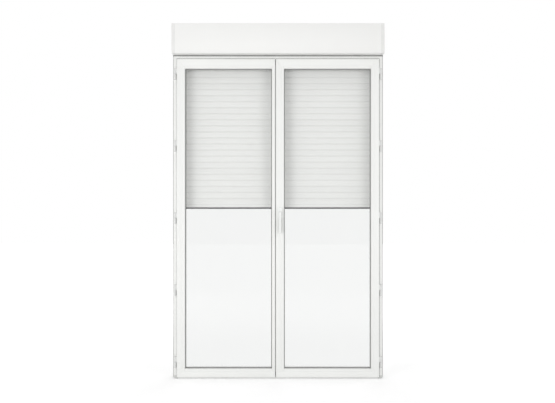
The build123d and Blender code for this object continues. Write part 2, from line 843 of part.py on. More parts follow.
with BuildPart() as handle_lever:
    lever_back = leaf_front - rosette_thickness
    lever_front = lever_back - lever_projection
    grip_back = lever_front + lever_thickness
    with BuildSketch(Plane.XZ.offset(-leaf_front + cleat_clearance)):
        with Locations((handle_x, handle_z)):
            Circle(neck_radius)
    extrude(amount=leaf_front - cleat_clearance - grip_back)
    with BuildSketch(Plane.YZ.offset(handle_x - lever_width / 2)):
        with BuildLine():
            crown = handle_z + lever_width / 2
            tip_z = handle_z - lever_drop
            root_z = handle_z - lever_width / 2
            Line((grip_back, crown), (lever_front + lever_thickness / 2, crown))
            RadiusArc(
                (lever_front + lever_thickness / 2, crown),
                (lever_front, crown - lever_thickness / 2),
                -lever_thickness / 2,
            )
            tip_front = lever_front + lever_tip_inset
            tip_back = tip_front + lever_tip_thickness
            tip_round = tip_z + lever_tip_height
            Line((lever_front, crown - lever_thickness / 2), (tip_front, tip_round))
            RadiusArc((tip_front, tip_round), (tip_back, tip_round), -lever_tip_radius)
            ThreePointArc(
                (tip_back, tip_round),
                (tip_back + lever_swell, handle_z - lever_drop / 2),
                (grip_back, root_z),
            )
            Line((grip_back, root_z), (grip_back, crown))
        make_face()
    extrude(amount=lever_width)
    flat_back = grip_back - lever_flat_margin
    side_edges = handle_lever.edges().filter_by(
        lambda edge: edge.bounding_box().size.X < lever_edge and edge.center().Y < flat_back
    )
    fillet(side_edges.filter_by(GeomType.CIRCLE, reverse=True), lever_edge)
    with BuildSketch(Plane.XZ.offset(-leaf_front + cleat_clearance)):
        with Locations((handle_x, handle_z)):
            Rectangle(spindle_size + 2 * running_clearance, spindle_size + 2 * running_clearance)
    extrude(amount=spindle_socket, mode=Mode.SUBTRACT)
handle_lever.part.label = "handle_lever"
export_step(handle_lever.part, "parts/handle_lever.step")

with BuildPart() as handle_spindle:
    with BuildSketch(Plane.XZ.offset(-groove_back)):
        with Locations((handle_x, handle_z)):
            Rectangle(spindle_size, spindle_size)
    extrude(amount=groove_back - leaf_front + spindle_socket)
handle_spindle.part.label = "handle_spindle"
export_step(handle_spindle.part, "parts/handle_spindle.step")

# Shutter guides: hollow channels on the outer face of the jambs
for side, sign in (("left", -1), ("right", 1)):
    with BuildPart() as guide:
        with BuildSketch(section_plane((sign * half_width, 0, threshold_height), (-sign, 0, 0))):
            span(0, guide_width, guide_front, guide_back)
            low, high = curtain_y - slot_width / 2, curtain_y + slot_width / 2
            floor = guide_width - slot_depth
            span(floor, guide_width, low, high, Mode.SUBTRACT)
            edge = guide_wall
            front, back = guide_front + edge, guide_back - edge
            span(edge, floor - edge, front, back, Mode.SUBTRACT)
            span(floor, guide_width - edge, front, low - edge, Mode.SUBTRACT)
            span(floor, guide_width - edge, high + edge, back, Mode.SUBTRACT)
        extrude(amount=frame_height - threshold_height, dir=(0, 0, 1))
    guide.part.label = f"guide_{side}"
    export_step(guide.part, f"parts/guide_{side}.step")

# Pile strips on both cheeks of each guide slot
with BuildPart() as guide_brushes:
    for sign in (-1, 1):
        start = guide_mouth_x + brush_inset
        low_x, high_x = sorted((sign * start, sign * (start + brush_width)))
        for cheek in (-1, 1):
            wall = curtain_y + cheek * slot_width / 2
            low_y, high_y = sorted((wall, wall - cheek * brush_thickness))
            block((low_x, low_y, threshold_height), (high_x, high_y, frame_height))
guide_brushes.part.label = "guide_brushes"
export_step(guide_brushes.part, "parts/guide_brushes.step")

# Flared inlets that lead the curtain from the roll into the guides
with BuildPart() as guide_funnels:
    base_z = frame_height + box_wall
    for sign in (-1, 1):
        for cheek in (-1, 1):
            mouth = curtain_y + cheek * curtain_slot / 2
            with BuildSketch(Plane.YZ.offset(sign * guide_mouth_x)):
                Polygon(
                    (mouth, base_z),
                    (mouth + cheek * funnel_flare, base_z),
                    (mouth + cheek * funnel_flare, base_z + funnel_height),
                    (mouth + cheek * (funnel_flare - funnel_cheek), base_z + funnel_height),
                    align=None,
                )
            extrude(amount=sign * curtain_engagement)
guide_funnels.part.label = "guide_funnels"
export_step(guide_funnels.part, "parts/guide_funnels.step")


def slat_section(bottom):
    """One slat across its length: hollow body, hook on top and a hook channel below."""
    half = slat_thickness / 2
    middle = bottom + slat_pitch / 2
    top = bottom + slat_body
    with BuildLine() as outline:
        Polyline(
            (curtain_y + slat_foot_back * half, bottom),
            (curtain_y - slat_foot_front * half, bottom),
            (curtain_y - half, bottom + 2 * slat_line),
            (curtain_y - half, middle - slat_line),
            (curtain_y - half + slat_line, middle),
            (curtain_y - half, middle + slat_line),
            (curtain_y - half, top - 3 * slat_line),
            (curtain_y - slat_shoulder_front * half, top),
            (curtain_y + slat_shoulder_back * half, top),
        )
        ThreePointArc(
            (curtain_y + slat_shoulder_back * half, top),
            (curtain_y + half, bottom + slat_belly * slat_body),
            (curtain_y + slat_foot_back * half, bottom),
        )
    make_face(outline.edges())
    hook_channel(bottom)
    inner = half - slat_line - slat_wall
    low = bottom + channel_floor + channel_height + slat_wall
    span(curtain_y - inner, curtain_y + inner, low, top - slat_wall, Mode.SUBTRACT)
    slat_hook(top, bottom + slat_pitch)


def hook_channel(bottom):
    """The slot and chamber in a slat's foot that the next slat's hook hangs in."""
    floor = bottom + channel_floor
    half_slot, half_channel = channel_slot / 2, channel_width / 2
    span(curtain_y - half_slot, curtain_y + half_slot, bottom, floor, Mode.SUBTRACT)
    top = floor + channel_height
    span(curtain_y - half_channel, curtain_y + half_channel, floor, top, Mode.SUBTRACT)


def slat_hook(shoulder, seat):
    """The neck above a slat's shoulder and the hook that hangs in the channel above."""
    hook_low = seat + hook_seat
    half_neck, half_hook = neck_thickness / 2, hook_width / 2
    span(curtain_y - half_neck, curtain_y + half_neck, shoulder, hook_low)
    span(curtain_y - half_hook, curtain_y + half_hook, hook_low, hook_low + hook_height)


# Curtain between the end slat and the roll
with BuildPart() as curtain_slats:
    for index in range(slat_count):
        with BuildSketch(Plane.YZ.offset(-curtain_x)):
            slat_section(slats_bottom + index * slat_pitch)
        extrude(amount=2 * curtain_x)
curtain_slats.part.label = "curtain_slats"
export_step(curtain_slats.part, "parts/curtain_slats.step")

# Hollow end slat with a stepped face and a groove for its rubber strip
with BuildPart() as end_slat:
    with BuildSketch(Plane.YZ.offset(-curtain_x)):
        half, slim = end_slat_thickness / 2, slat_thickness / 2
        step_z = end_slat_bottom + end_slat_step
        shoulder = slats_bottom - slat_pitch + slat_body
        Polygon(
            (curtain_y - half, end_slat_bottom),
            (curtain_y + half, end_slat_bottom),
            (curtain_y + half, step_z - end_slat_wall),
            (curtain_y + slim, step_z),
            (curtain_y + slim, shoulder),
            (curtain_y - slim, shoulder),
            (curtain_y - slim, step_z),
            (curtain_y - half, step_z - end_slat_wall),
            align=None,
        )
        slat_hook(shoulder, slats_bottom)
        root_half = seal_root_width / 2
        root_top = end_slat_bottom + seal_root_depth
        wall = end_slat_wall
        span(curtain_y - root_half, curtain_y + root_half, end_slat_bottom, root_top, Mode.SUBTRACT)
        low, high = root_top + wall, step_z - 2 * wall
        span(curtain_y - half + wall, curtain_y + half - wall, low, high, Mode.SUBTRACT)
        low, high = step_z - wall / 2, shoulder - wall
        span(curtain_y - slim + wall, curtain_y + slim - wall, low, high, Mode.SUBTRACT)
    extrude(amount=2 * curtain_x)
end_slat.part.label = "end_slat"
export_step(end_slat.part, "parts/end_slat.step")

with BuildPart() as bottom_seal:
    with BuildSketch(Plane.YZ.offset(-curtain_x)):
        half = bottom_seal_width / 2
        with BuildLine():
            Polyline(
                (curtain_y - half, curtain_bottom + half),
                (curtain_y - half, end_slat_bottom),
                (curtain_y - root_half, end_slat_bottom),
                (curtain_y - root_half, root_top),
                (curtain_y + root_half, root_top),
                (curtain_y + root_half, end_slat_bottom),
                (curtain_y + half, end_slat_bottom),
                (curtain_y + half, curtain_bottom + half),
            )
            ThreePointArc(
                (curtain_y + half, curtain_bottom + half),
                (curtain_y, curtain_bottom),
                (curtain_y - half, curtain_bottom + half),
            )
        make_face()
    extrude(amount=2 * curtain_x)
bottom_seal.part.label = "bottom_seal"
export_step(bottom_seal.part, "parts/bottom_seal.step")

# Wound part of the curtain: each slat is a flat of a spiral, with its bore round the tube
tube_corner = tube_flats / 2 / cos(pi / tube_sides)
bore_corner = (tube_flats / 2 - tube_wall) / cos(pi / tube_sides)
tube_turn = 180 / tube_sides
with BuildPart() as curtain_roll:
    turn_growth = slat_thickness / (2 * pi)
    outer_slats = int(2 * pi * roll_radius / slat_pitch) + 1
    angle, corners = 0.0, []
    for index in range(outer_slats):
        radius = roll_radius - turn_growth * angle
        corners.append((roll_y + radius * cos(angle), roll_z + radius * sin(angle)))
        angle += slat_pitch / radius
    with BuildSketch(Plane.YZ.offset(-curtain_x + roll_clearance)):
        Polygon(*corners, align=None)
        with Locations((roll_y, roll_z)):
            Circle(tube_corner + cleat_clearance, mode=Mode.SUBTRACT)
    extrude(amount=2 * (curtain_x - roll_clearance))
curtain_roll.part.label = "curtain_roll"
export_step(curtain_roll.part, "parts/curtain_roll.step")

# Octagonal steel winding tube
with BuildPart() as winding_tube:
    with BuildSketch(Plane.YZ.offset(-tube_x)):
        with Locations((roll_y, roll_z)):
            RegularPolygon(tube_corner, tube_sides, rotation=tube_turn)
            RegularPolygon(bore_corner, tube_sides, rotation=tube_turn, mode=Mode.SUBTRACT)
    extrude(amount=2 * tube_x)
winding_tube.part.label = "winding_tube"
export_step(winding_tube.part, "parts/winding_tube.step")

# Tubular motor in the right end, its head held by the bracket
motor_end = tube_x - motor_length
with BuildPart() as tube_motor:
    disc(tube_x + crown_width / 2, bracket_x - tube_x - crown_width / 2, motor_head_radius)
    disc(motor_end, motor_length + crown_width / 2, motor_radius)
    disc(motor_end - drive_wheel_width, drive_wheel_width, idler_pin_radius)
tube_motor.part.label = "tube_motor"
export_step(tube_motor.part, "parts/tube_motor.step")

# Crown and drive wheel, the two rings that fill the tube round the motor
adapter_corner = bore_corner - 2 * running_clearance
with BuildPart() as motor_adapters:
    wheel_width = drive_wheel_width - drive_wheel_setback
    for start, width, bore in (
        (tube_x - crown_width, crown_width, motor_radius),
        (motor_end - drive_wheel_width, wheel_width, idler_pin_radius),
    ):
        with BuildSketch(Plane.YZ.offset(start)):
            with Locations((roll_y, roll_z)):
                RegularPolygon(adapter_corner, tube_sides, rotation=tube_turn)
                Circle(bore + running_clearance, mode=Mode.SUBTRACT)
        extrude(amount=width)
motor_adapters.part.label = "motor_adapters"
export_step(motor_adapters.part, "parts/motor_adapters.step")

# Plug in the left end with the pin that turns in the bearing
with BuildPart() as idler_plug:
    with BuildSketch(Plane.YZ.offset(-tube_x)):
        with Locations((roll_y, roll_z)):
            RegularPolygon(adapter_corner, tube_sides, rotation=tube_turn)
    extrude(amount=plug_length)
    disc(-tube_x - plug_flange, plug_flange, tube_flats / 2)
    disc(-bracket_x, bracket_x - tube_x, idler_pin_radius)
idler_plug.part.label = "idler_plug"
export_step(idler_plug.part, "parts/idler_plug.step")

with BuildPart() as idler_bearing:
    disc(-bracket_x, bearing_width, bearing_radius)
    disc(-bracket_x, bearing_width, idler_pin_radius + running_clearance, mode=Mode.SUBTRACT)
idler_bearing.part.label = "idler_bearing"
export_step(idler_bearing.part, "parts/idler_bearing.step")

# Steel plates on the end caps that carry the motor head and the bearing
with BuildPart() as roll_brackets:
    for sign in (-1, 1):
        with BuildSketch(Plane.YZ.offset(sign * bracket_x)):
            with Locations((roll_y, roll_z)):
                RectangleRounded(bracket_size, bracket_size, bracket_corner)
        extrude(amount=sign * bracket_thickness)
roll_brackets.part.label = "roll_brackets"
export_step(roll_brackets.part, "parts/roll_brackets.step")

# End caps: open moulded shells with a boss for the bracket and a lip inside the panels
for side, sign in (("left", -1), ("right", 1)):
    inner_size = (box_depth - 2 * box_wall, box_height - 2 * box_wall)
    with BuildPart() as end_cap:
        with BuildSketch(Plane.YZ.offset(sign * cap_x)):
            with Locations((0, roll_z)):
                RectangleRounded(box_depth, box_height, cap_corner)
        extrude(amount=sign * cap_width)
        with BuildSketch(Plane.YZ.offset(sign * cap_x)):
            with Locations((0, roll_z)):
                Rectangle(*inner_size)
        extrude(amount=sign * (cap_width - cap_wall), mode=Mode.SUBTRACT)
        disc(sign * cap_x, sign * (cap_width - cap_wall), boss_radius)
        with BuildSketch(Plane.YZ.offset(sign * (cap_x - cap_lip))):
            with Locations((0, roll_z)):
                slack = 2 * cleat_clearance
                Rectangle(inner_size[0] - slack, inner_size[1] - slack)
                inset = slack + 2 * cap_lip_thickness
                Rectangle(inner_size[0] - inset, inner_size[1] - inset, mode=Mode.SUBTRACT)
        extrude(amount=sign * cap_lip)
        with BuildSketch(Plane.YZ.offset(sign * cap_x)):
            with Locations((0, roll_z)):
                Rectangle(*inner_size)
                inset = 2 * (cleat_clearance + cap_lip_thickness)
                Rectangle(inner_size[0] - inset, inner_size[1] - inset, mode=Mode.SUBTRACT)
        extrude(amount=sign * cap_lip_thickness)
    end_cap.part.label = f"box_end_cap_{side}"
    export_step(end_cap.part, f"parts/box_end_cap_{side}.step")


def panel_section(low_y, high_y, low_z, high_z):
    """A hollow extruded panel, divided into cells along its longer side."""
    span(low_y, high_y, low_z, high_z)
    flat = high_y - low_y > high_z - low_z
    length = (high_y - low_y) if flat else (high_z - low_z)
    cells = max(1, round(length / (box_height / panel_cells)))
    cell = (length - panel_skin) / cells
    for index in range(cells):
        start = panel_skin + index * cell
        end = start + cell - panel_skin
        if flat:
            span(low_y + start, low_y + end, low_z + panel_skin, high_z - panel_skin, Mode.SUBTRACT)
        else:
            span(low_y + panel_skin, high_y - panel_skin, low_z + start, low_z + end, Mode.SUBTRACT)


# Box panels between the end caps
floor_top = frame_height + box_wall
ceiling = box_top - box_wall
access_back = frame_front - access_gap
panels = {
    "box_front_panel": (box_front, box_front + box_wall, floor_top, box_top),
    "box_top_panel": (box_front + box_wall, box_back - box_wall, ceiling, box_top),
    "box_rear_panel": (box_back - box_wall, box_back, floor_top, box_top),
    "box_access_panel": (box_front, access_back, frame_height, floor_top),
    "box_base_panel": (frame_front, box_back, frame_height, floor_top),
}
for name, section in panels.items():
    with BuildPart() as panel:
        with BuildSketch(Plane.YZ.offset(-cap_x)):
            panel_section(*section)
        extrude(amount=2 * cap_x)
        if name == "box_base_panel":
            # Slot that the curtain runs through
            with BuildSketch(Plane.XY.offset(frame_height)):
                end = cap_x - curtain_slot_end
                low, high = curtain_y - curtain_slot / 2, curtain_y + curtain_slot / 2
                span(-end, end, low, high)
            extrude(amount=box_wall, mode=Mode.SUBTRACT)
    panel.part.label = name
    export_step(panel.part, f"parts/{name}.step")
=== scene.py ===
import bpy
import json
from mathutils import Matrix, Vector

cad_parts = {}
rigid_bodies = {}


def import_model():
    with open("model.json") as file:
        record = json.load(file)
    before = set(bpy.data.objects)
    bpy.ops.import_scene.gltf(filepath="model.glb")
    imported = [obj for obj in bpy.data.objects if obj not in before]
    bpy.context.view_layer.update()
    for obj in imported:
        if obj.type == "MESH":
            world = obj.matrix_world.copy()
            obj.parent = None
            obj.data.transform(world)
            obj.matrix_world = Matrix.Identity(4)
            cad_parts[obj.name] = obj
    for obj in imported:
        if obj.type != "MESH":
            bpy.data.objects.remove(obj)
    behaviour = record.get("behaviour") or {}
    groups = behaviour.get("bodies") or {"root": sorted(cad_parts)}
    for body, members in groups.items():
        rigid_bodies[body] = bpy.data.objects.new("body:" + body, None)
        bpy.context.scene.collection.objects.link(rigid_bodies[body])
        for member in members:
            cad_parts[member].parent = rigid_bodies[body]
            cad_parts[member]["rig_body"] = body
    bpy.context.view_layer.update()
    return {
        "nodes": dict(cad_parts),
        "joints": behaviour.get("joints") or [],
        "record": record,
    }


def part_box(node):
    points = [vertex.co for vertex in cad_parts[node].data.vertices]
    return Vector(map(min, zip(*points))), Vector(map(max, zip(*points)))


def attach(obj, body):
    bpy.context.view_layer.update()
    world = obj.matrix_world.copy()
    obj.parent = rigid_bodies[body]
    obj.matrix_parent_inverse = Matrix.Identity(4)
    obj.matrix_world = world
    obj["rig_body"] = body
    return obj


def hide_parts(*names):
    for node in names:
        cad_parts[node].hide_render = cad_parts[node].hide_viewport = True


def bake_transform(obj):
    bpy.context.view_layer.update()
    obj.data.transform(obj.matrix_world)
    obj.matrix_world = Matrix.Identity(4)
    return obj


bl_info = {
    "name": "Window with roller shutter",
    "version": (1, 0, 0),
    "blender": (4, 5, 0),
    "location": "View3D > Sidebar > Window",
    "description": "Rounds, finishes and lights a two-leaf window with its roller shutter",
    "category": "Object",
}

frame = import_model()

import json
from math import asin, pi, radians, sin

import bmesh
import bpy
from bpy.props import FloatProperty, FloatVectorProperty, IntProperty, PointerProperty
from bpy.types import Operator, Panel, PropertyGroup
from mathutils import Vector

SLOTS = {part["node"]: part["material_slot"] for part in frame["record"]["subparts"]}
JOINTS = {joint["name"]: joint for joint in frame["joints"]}
X, Y, Z = range(3)
MM = 0.001
NEAR = 0.01 * MM
LONG_EDGE = 100 * MM
ALUMINIUM_BARS = (
    "frame_head",
    "frame_jamb_left",
    "frame_jamb_right",
    "threshold",
    "guide_left",
    "guide_right",
    "left_leaf_hinge_stile",
    "left_leaf_meeting_stile",
    "left_leaf_top_rail",
    "left_leaf_bottom_rail",
    "left_leaf_beads",
    "left_leaf_astragal",
    "right_leaf_hinge_stile",
    "right_leaf_meeting_stile",
    "right_leaf_top_rail",
    "right_leaf_bottom_rail",
    "right_leaf_beads",
)
BOX_PANELS = (
    "box_front_panel",
    "box_top_panel",
    "box_rear_panel",
    "box_access_panel",
    "box_base_panel",
)
BOX_ENDS = ("box_end_cap_left", "box_end_cap_right")
HINGE_HALVES = ("hinge_frame_halves", "left_leaf_hinge_halves", "right_leaf_hinge_halves")
RUBBER_STRIPS = ("frame_seal", "left_leaf_gaskets", "right_leaf_gaskets")
OWN_FINISHES = {
    "hinge_frame_halves": "shaded_hinge_lacquer",
    "left_leaf_hinge_halves": "shaded_hinge_lacquer",
    "right_leaf_hinge_halves": "shaded_hinge_lacquer",
    "box_end_cap_left": "cap_plastic",
    "box_end_cap_right": "cap_plastic",
    "bottom_seal": "black_rubber",
}


# Sizes and colours that a user may change


def colour(name, description, default):
    return FloatVectorProperty(
        name=name, description=description, default=default, subtype="COLOR", min=0, max=1
    )


def length(name, description, default):
    return FloatProperty(name=name, description=description, default=default, unit="LENGTH")


class WindowColours(PropertyGroup):
    lacquer: colour("Lacquer", "Powder coat of the frame and leaves", (0.87, 0.875, 0.858))
    box: colour("Box", "Extruded plastic of the shutter box", (0.88, 0.88, 0.865))
    slats: colour("Slats", "Extruded plastic of the curtain", (0.92, 0.92, 0.905))
    hardware: colour("Hardware", "Gloss lacquer of the handle", (0.86, 0.87, 0.855))
    # Painted shade: the hinges' lacquer is greyer than the handle's, for the shade around the hinges
    hinges: colour("Hinges", "Gloss lacquer of the hinges", (0.72, 0.727, 0.715))
    moulded: colour("Mouldings", "Off-white moulded plastic", (0.62, 0.625, 0.61))
    caps: colour("End caps", "Moulded end caps of the shutter box", (0.80, 0.80, 0.787))
    gasket: colour("Gasket", "Grey rubber of the glazing and frame gaskets", (0.29, 0.29, 0.285))
    flange_seal: colour("Flange seal", "Dark rubber under the leaves' flanges", (0.1, 0.1, 0.098))
    # Partly painted shade: the real foam tape is made dark for the shade line under the box
    foam: colour("Joint foam", "Foam tape between frame and box", (0.2, 0.2, 0.197))
    # Painted shade: this grey strip stands for the shade along the jambs' outer edges
    trim: colour("Edge trim", "Grey strip along the outer edge of the jambs", (0.56, 0.56, 0.55))
    rubber: colour("Seal", "Black rubber under the curtain's end slat", (0.052, 0.053, 0.055))
    spacer: colour("Spacer", "Metal strip between the panes", (0.34, 0.345, 0.35))
    steel: colour("Steel", "Zinc-plated steel", (0.62, 0.63, 0.64))
    casing: colour("Motor casing", "Grey paint of the motor tube", (0.11, 0.11, 0.115))
    pile: colour("Pile", "Brush strips in the guides", (0.09, 0.09, 0.09))
    glass: colour("Glass", "Tint of one pane", (0.945, 0.949, 0.946))


class WindowSizes(PropertyGroup):
    bar_edge: length("Bar edge", "Radius on the edges of aluminium bars", 0.5 * MM)
    box_edge: length("Box edge", "Radius on the edges of the box panels", 0.6 * MM)
    cap_edge: length("Cap edge", "Radius on the rim of the box's end caps", 1.2 * MM)
    hinge_edge: length("Hinge edge", "Radius on the edges of hinge knuckles", 0.7 * MM)
    strip_edge: length("Strip edge", "Radius on the edges of rubber strips", 0.7 * MM)
    step_width: length("Step width", "Width of the step along the frame's outer edge", 6 * MM)
    step_depth: length("Step depth", "Depth of the step along the frame's outer edge", 8 * MM)
    strip: length("Strip", "Thickness of the strips in that step", 3 * MM)
    # Painted shade: the seals are drawn out past the flange for the shade line above and beside a
    # leaf
    shade_lip_reach: length("Lip reach", "How far the flange seals are drawn out above a leaf", 1.8 * MM)
    mitre_key: length("Mitre key", "Width of the key behind a mitre's inner corner", 4.8 * MM)
    slat_pitch: length("Slat pitch", "Distance from one slat to the next", 37.5 * MM)
    slat_body: length("Slat body", "Height of a slat's hollow body", 32.5 * MM)
    slat_line: length("Slat line", "Depth of the line along the middle of a slat", 0.7 * MM)
    slat_nest: length("Slat nest", "How far a nested slat lies inside its neighbour", 0.3 * MM)
    slats: IntProperty(name="Slats", description="Slats between end slat and roll", default=26)
    screw: length("Screw", "Radius of a screw's head", 3.2 * MM)


class StageSizes(PropertyGroup):
    camera_x: length("Camera sideways", "Place of the camera along X", -3 * MM)
    camera_y: length("Camera back", "Place of the camera along Y", -4.820)
    camera_z: length("Camera height", "Height of the camera", 1.079)
    lens: FloatProperty(name="Lens", description="Focal length in millimetres", default=51.1)
    left_watts: FloatProperty(name="Left lamp", description="Power in watts", default=51)
    right_watts: FloatProperty(name="Right lamp", description="Power in watts", default=27)
    back_watts: FloatProperty(name="Back lamp", description="Power in watts", default=30)
    sky: FloatProperty(name="Sky", description="Strength of the even light", default=0.72)


# Shader maths


class Wire:
    """An output socket of a finish, on which Python arithmetic adds Math nodes."""

    def __init__(self, finish, socket):
        self.finish = finish
        self.socket = socket

    def __getitem__(self, name):
        return Wire(self.finish, self.socket.node.outputs[name])

    def maths(self, operation, first, second):
        return self.finish.node("Math", {"operation": operation}, {0: first, 1: second})

    def __add__(self, other):
        return self.maths("ADD", self, other)

    def __radd__(self, other):
        return self.maths("ADD", other, self)

    def __sub__(self, other):
        return self.maths("SUBTRACT", self, other)

    def __rsub__(self, other):
        return self.maths("SUBTRACT", other, self)

    def __mul__(self, other):
        return self.maths("MULTIPLY", self, other)

    def __rmul__(self, other):
        return self.maths("MULTIPLY", other, self)

    def __truediv__(self, other):
        return self.maths("DIVIDE", self, other)

    def __rtruediv__(self, other):
        return self.maths("DIVIDE", other, self)


class Finish:
    """A material and the nodes that make it."""

    def __init__(self, name, tree=None):
        if tree is None:
            self.material = bpy.data.materials.new(name)
            self.material.use_nodes = True
            tree = self.material.node_tree
        self.tree = tree
        self.tree.nodes.clear()

    def node(self, kind, settings=None, inputs=None):
        """Adds a node: its settings first, then the values or links of its sockets."""
        new = self.tree.nodes.new("ShaderNode" + kind)
        for name, value in (settings or {}).items():
            if name == "stops":
                self.set_stops(new.color_ramp, value)
            else:
                setattr(new, name, value)
        for name, value in (inputs or {}).items():
            if isinstance(value, Wire):
                self.tree.links.new(value.socket, new.inputs[name])
            else:
                new.inputs[name].default_value = value
        shown = [output for output in new.outputs if output.enabled]
        return Wire(self, shown[0]) if shown else None

    def set_stops(self, ramp, stops):
        """Gives a colour ramp its stops, each a place and a grey level."""
        while len(ramp.elements) < len(stops):
            ramp.elements.new(1)
        for element, (place, level) in zip(ramp.elements, stops):
            element.position = place
            element.color = (level, level, level, 1)

    def place(self, scale=(1, 1, 1)):
        """The piece's own coordinates in metres, stretched by a scale along each axis."""
        here = self.node("TexCoord")["Object"]
        return self.node("Mapping", {"vector_type": "POINT"}, {"Vector": here, "Scale": scale})

    def noise(self, place, scale, detail, rough):
        """Clouds of this many waves to the metre, with finer ones on them."""
        sockets = {"Vector": place, "Scale": scale, "Detail": detail, "Roughness": rough}
        return self.node("TexNoise", {}, sockets)

    def cells(self, scale, feature="SMOOTH_F1", randomness=1):
        """Round dimples, this many to the metre."""
        sockets = {"Vector": self.place(), "Scale": scale, "Randomness": randomness}
        return self.node("TexVoronoi", {"feature": feature}, sockets)["Distance"]

    def bump(self, height, strength, depth):
        """The normal of a surface with a relief of this depth in metres."""
        return self.node("Bump", {}, {"Height": height, "Strength": strength, "Distance": depth})

    def either(self, first, second):
        """1 where one of two switches is 1."""
        return self.node("Math", {"operation": "MAXIMUM"}, {0: first, 1: second})

    def tint(self, colour, factor, spread):
        """The colour, a little darker and a little paler as the factor goes from 0 to 1."""
        dark = [channel * (1 - spread) for channel in colour] + [1]
        pale = [min(1, channel * (1 + spread)) for channel in colour] + [1]
        # The Mix node has an A, B and Result for each kind of data; these numbers are the colours'
        first, second, result = 6, 7, 2
        sockets = {"Factor": factor, first: dark, second: pale}
        mixed = self.node("Mix", {"data_type": "RGBA"}, sockets)
        return mixed[result]

    def surface(self, inputs):
        """A Principled shader on the material's output."""
        shader = self.node("BsdfPrincipled", {}, inputs)
        self.node("OutputMaterial", {}, {"Surface": shader})
        return self.material


# The finishes


def powder_coat(colour):
    """White satin powder coat: a fine orange-peel skin with faint clouds in tone and gloss."""
    finish = Finish("powder_coat")
    here = finish.place()
    peel = finish.noise(here, 1500, 3, 0.55)
    cloud = finish.noise(here, 5, 4, 0.6)
    speck = finish.noise(here, 260, 2, 0.7)
    return finish.surface(
        {
            "Base Color": finish.tint(colour, cloud * 0.7 + speck * 0.3, 0.025),
            "Roughness": 0.3 + cloud * 0.14 + peel * 0.05,
            "Specular IOR Level": 0.42,
            "Normal": finish.bump(peel * 0.7 + speck * 0.3, 0.22, 0.1 * MM),
        }
    )


def extruded_plastic(name, colour, rough):
    """Hard plastic drawn along X: long die lines, a dry fine grain and soft clouds."""
    finish = Finish(name)
    lines = finish.noise(finish.place((0.6, 900, 900)), 1, 3, 0.6)
    grain = finish.noise(finish.place(), 1900, 2, 0.5)
    cloud = finish.noise(finish.place((0.5, 4, 4)), 1.5, 3, 0.55)
    return finish.surface(
        {
            "Base Color": finish.tint(colour, cloud * 0.75 + lines * 0.25, 0.025),
            "Roughness": rough + lines * 0.08 + cloud * 0.08,
            "Specular IOR Level": 0.4,
            "Normal": finish.bump(lines * 0.75 + grain * 0.25, 0.3, 0.07 * MM),
        }
    )


def slat_plastic(colour, pitch, body, start):
    """Slat plastic, whose tone differs from slat to slat, with painted shade at each joint and along
    the middle line.
    """
    finish = Finish("slat_plastic")
    here = finish.node("TexCoord")["Object"]
    height = finish.node("SeparateXYZ", {}, {"Vector": here})["Z"]
    rows = (height - start) / pitch
    row = finish.node("Math", {"operation": "FLOOR"}, {0: rows})
    odd = finish.node("TexWhiteNoise", {"noise_dimensions": "1D"}, {"W": row})
    # Painted shade: the colour is darkened at each joint between slats and along the middle line,
    # where shade falls
    joint_shade, line_shade = 0.92, 0.96
    top, middle = body / pitch, 0.5
    rim, fade = 0.03, 0.04
    stops = [(0, joint_shade), (rim, 1)]
    stops += [(middle - fade, 1), (middle, line_shade), (middle + fade, 1)]
    stops += [(top - rim, 1), (top, joint_shade)]
    painted_shade = finish.node("ValToRGB", {"stops": stops}, {"Fac": rows - row})["Color"]
    lines = finish.noise(finish.place((0.8, 1100, 1100)), 1, 3, 0.6)
    cloud = finish.noise(finish.place((1, 6, 6)), 2, 3, 0.5)
    slat_tone = finish.tint(colour, odd * 0.55 + cloud * 0.45, 0.022)
    shaded_tone = finish.node("VectorMath", {"operation": "SCALE"}, {0: slat_tone, "Scale": painted_shade})
    return finish.surface(
        {
            "Base Color": shaded_tone,
            "Roughness": 0.44 + lines * 0.08 + cloud * 0.06,
            "Specular IOR Level": 0.36,
            "Normal": finish.bump(lines, 0.3, 0.08 * MM),
        }
    )


def gloss_lacquer(name, colour):
    """Smooth stoved lacquer of the handle and hinges, with a faint long-wave ripple."""
    finish = Finish(name)
    ripple = finish.noise(finish.place(), 120, 2, 0.4)
    cloud = finish.noise(finish.place(), 30, 3, 0.5)
    return finish.surface(
        {
            "Base Color": finish.tint(colour, cloud, 0.02),
            "Roughness": 0.2 + cloud * 0.12,
            "Coat Weight": 0.25,
            "Coat Roughness": 0.12,
            "Normal": finish.bump(ripple, 0.12, 0.2 * MM),
        }
    )


def moulded_plastic(name, colour, spread):
    """Spark-eroded moulding grain with a dull sheen."""
    finish = Finish(name)
    cloud = finish.noise(finish.place(), 40, 3, 0.6)
    return finish.surface(
        {
            "Base Color": finish.tint(colour, cloud, spread),
            "Roughness": 0.5 + cloud * 0.14,
            "Specular IOR Level": 0.4,
            "Normal": finish.bump(finish.cells(1600), 0.35, 0.12 * MM),
        }
    )


def rubber(name, colour, spread):
    """Matt extruded rubber with a dusting of fine pits."""
    finish = Finish(name)
    pits = finish.noise(finish.place(), 2200, 4, 0.7)
    bloom = finish.noise(finish.place(), 55, 4, 0.6)
    return finish.surface(
        {
            "Base Color": finish.tint(colour, bloom * 0.8 + pits * 0.2, spread),
            "Roughness": 0.62 + bloom * 0.2,
            "Specular IOR Level": 0.35,
            "Normal": finish.bump(pits, 0.5, 0.1 * MM),
        }
    )


def plated_steel(colour):
    """Plated metal with fine upright drawing lines and cloudy plating."""
    finish = Finish("plated_steel")
    lines = finish.noise(finish.place((1400, 1400, 25)), 1, 3, 0.6)
    cloud = finish.noise(finish.place(), 60, 4, 0.6)
    return finish.surface(
        {
            "Base Color": finish.tint(colour, cloud * 0.6 + lines * 0.4, 0.09),
            "Metallic": 1.0,
            "Roughness": 0.3 + cloud * 0.12 + lines * 0.08,
            "Normal": finish.bump(lines, 0.3, 0.06 * MM),
        }
    )


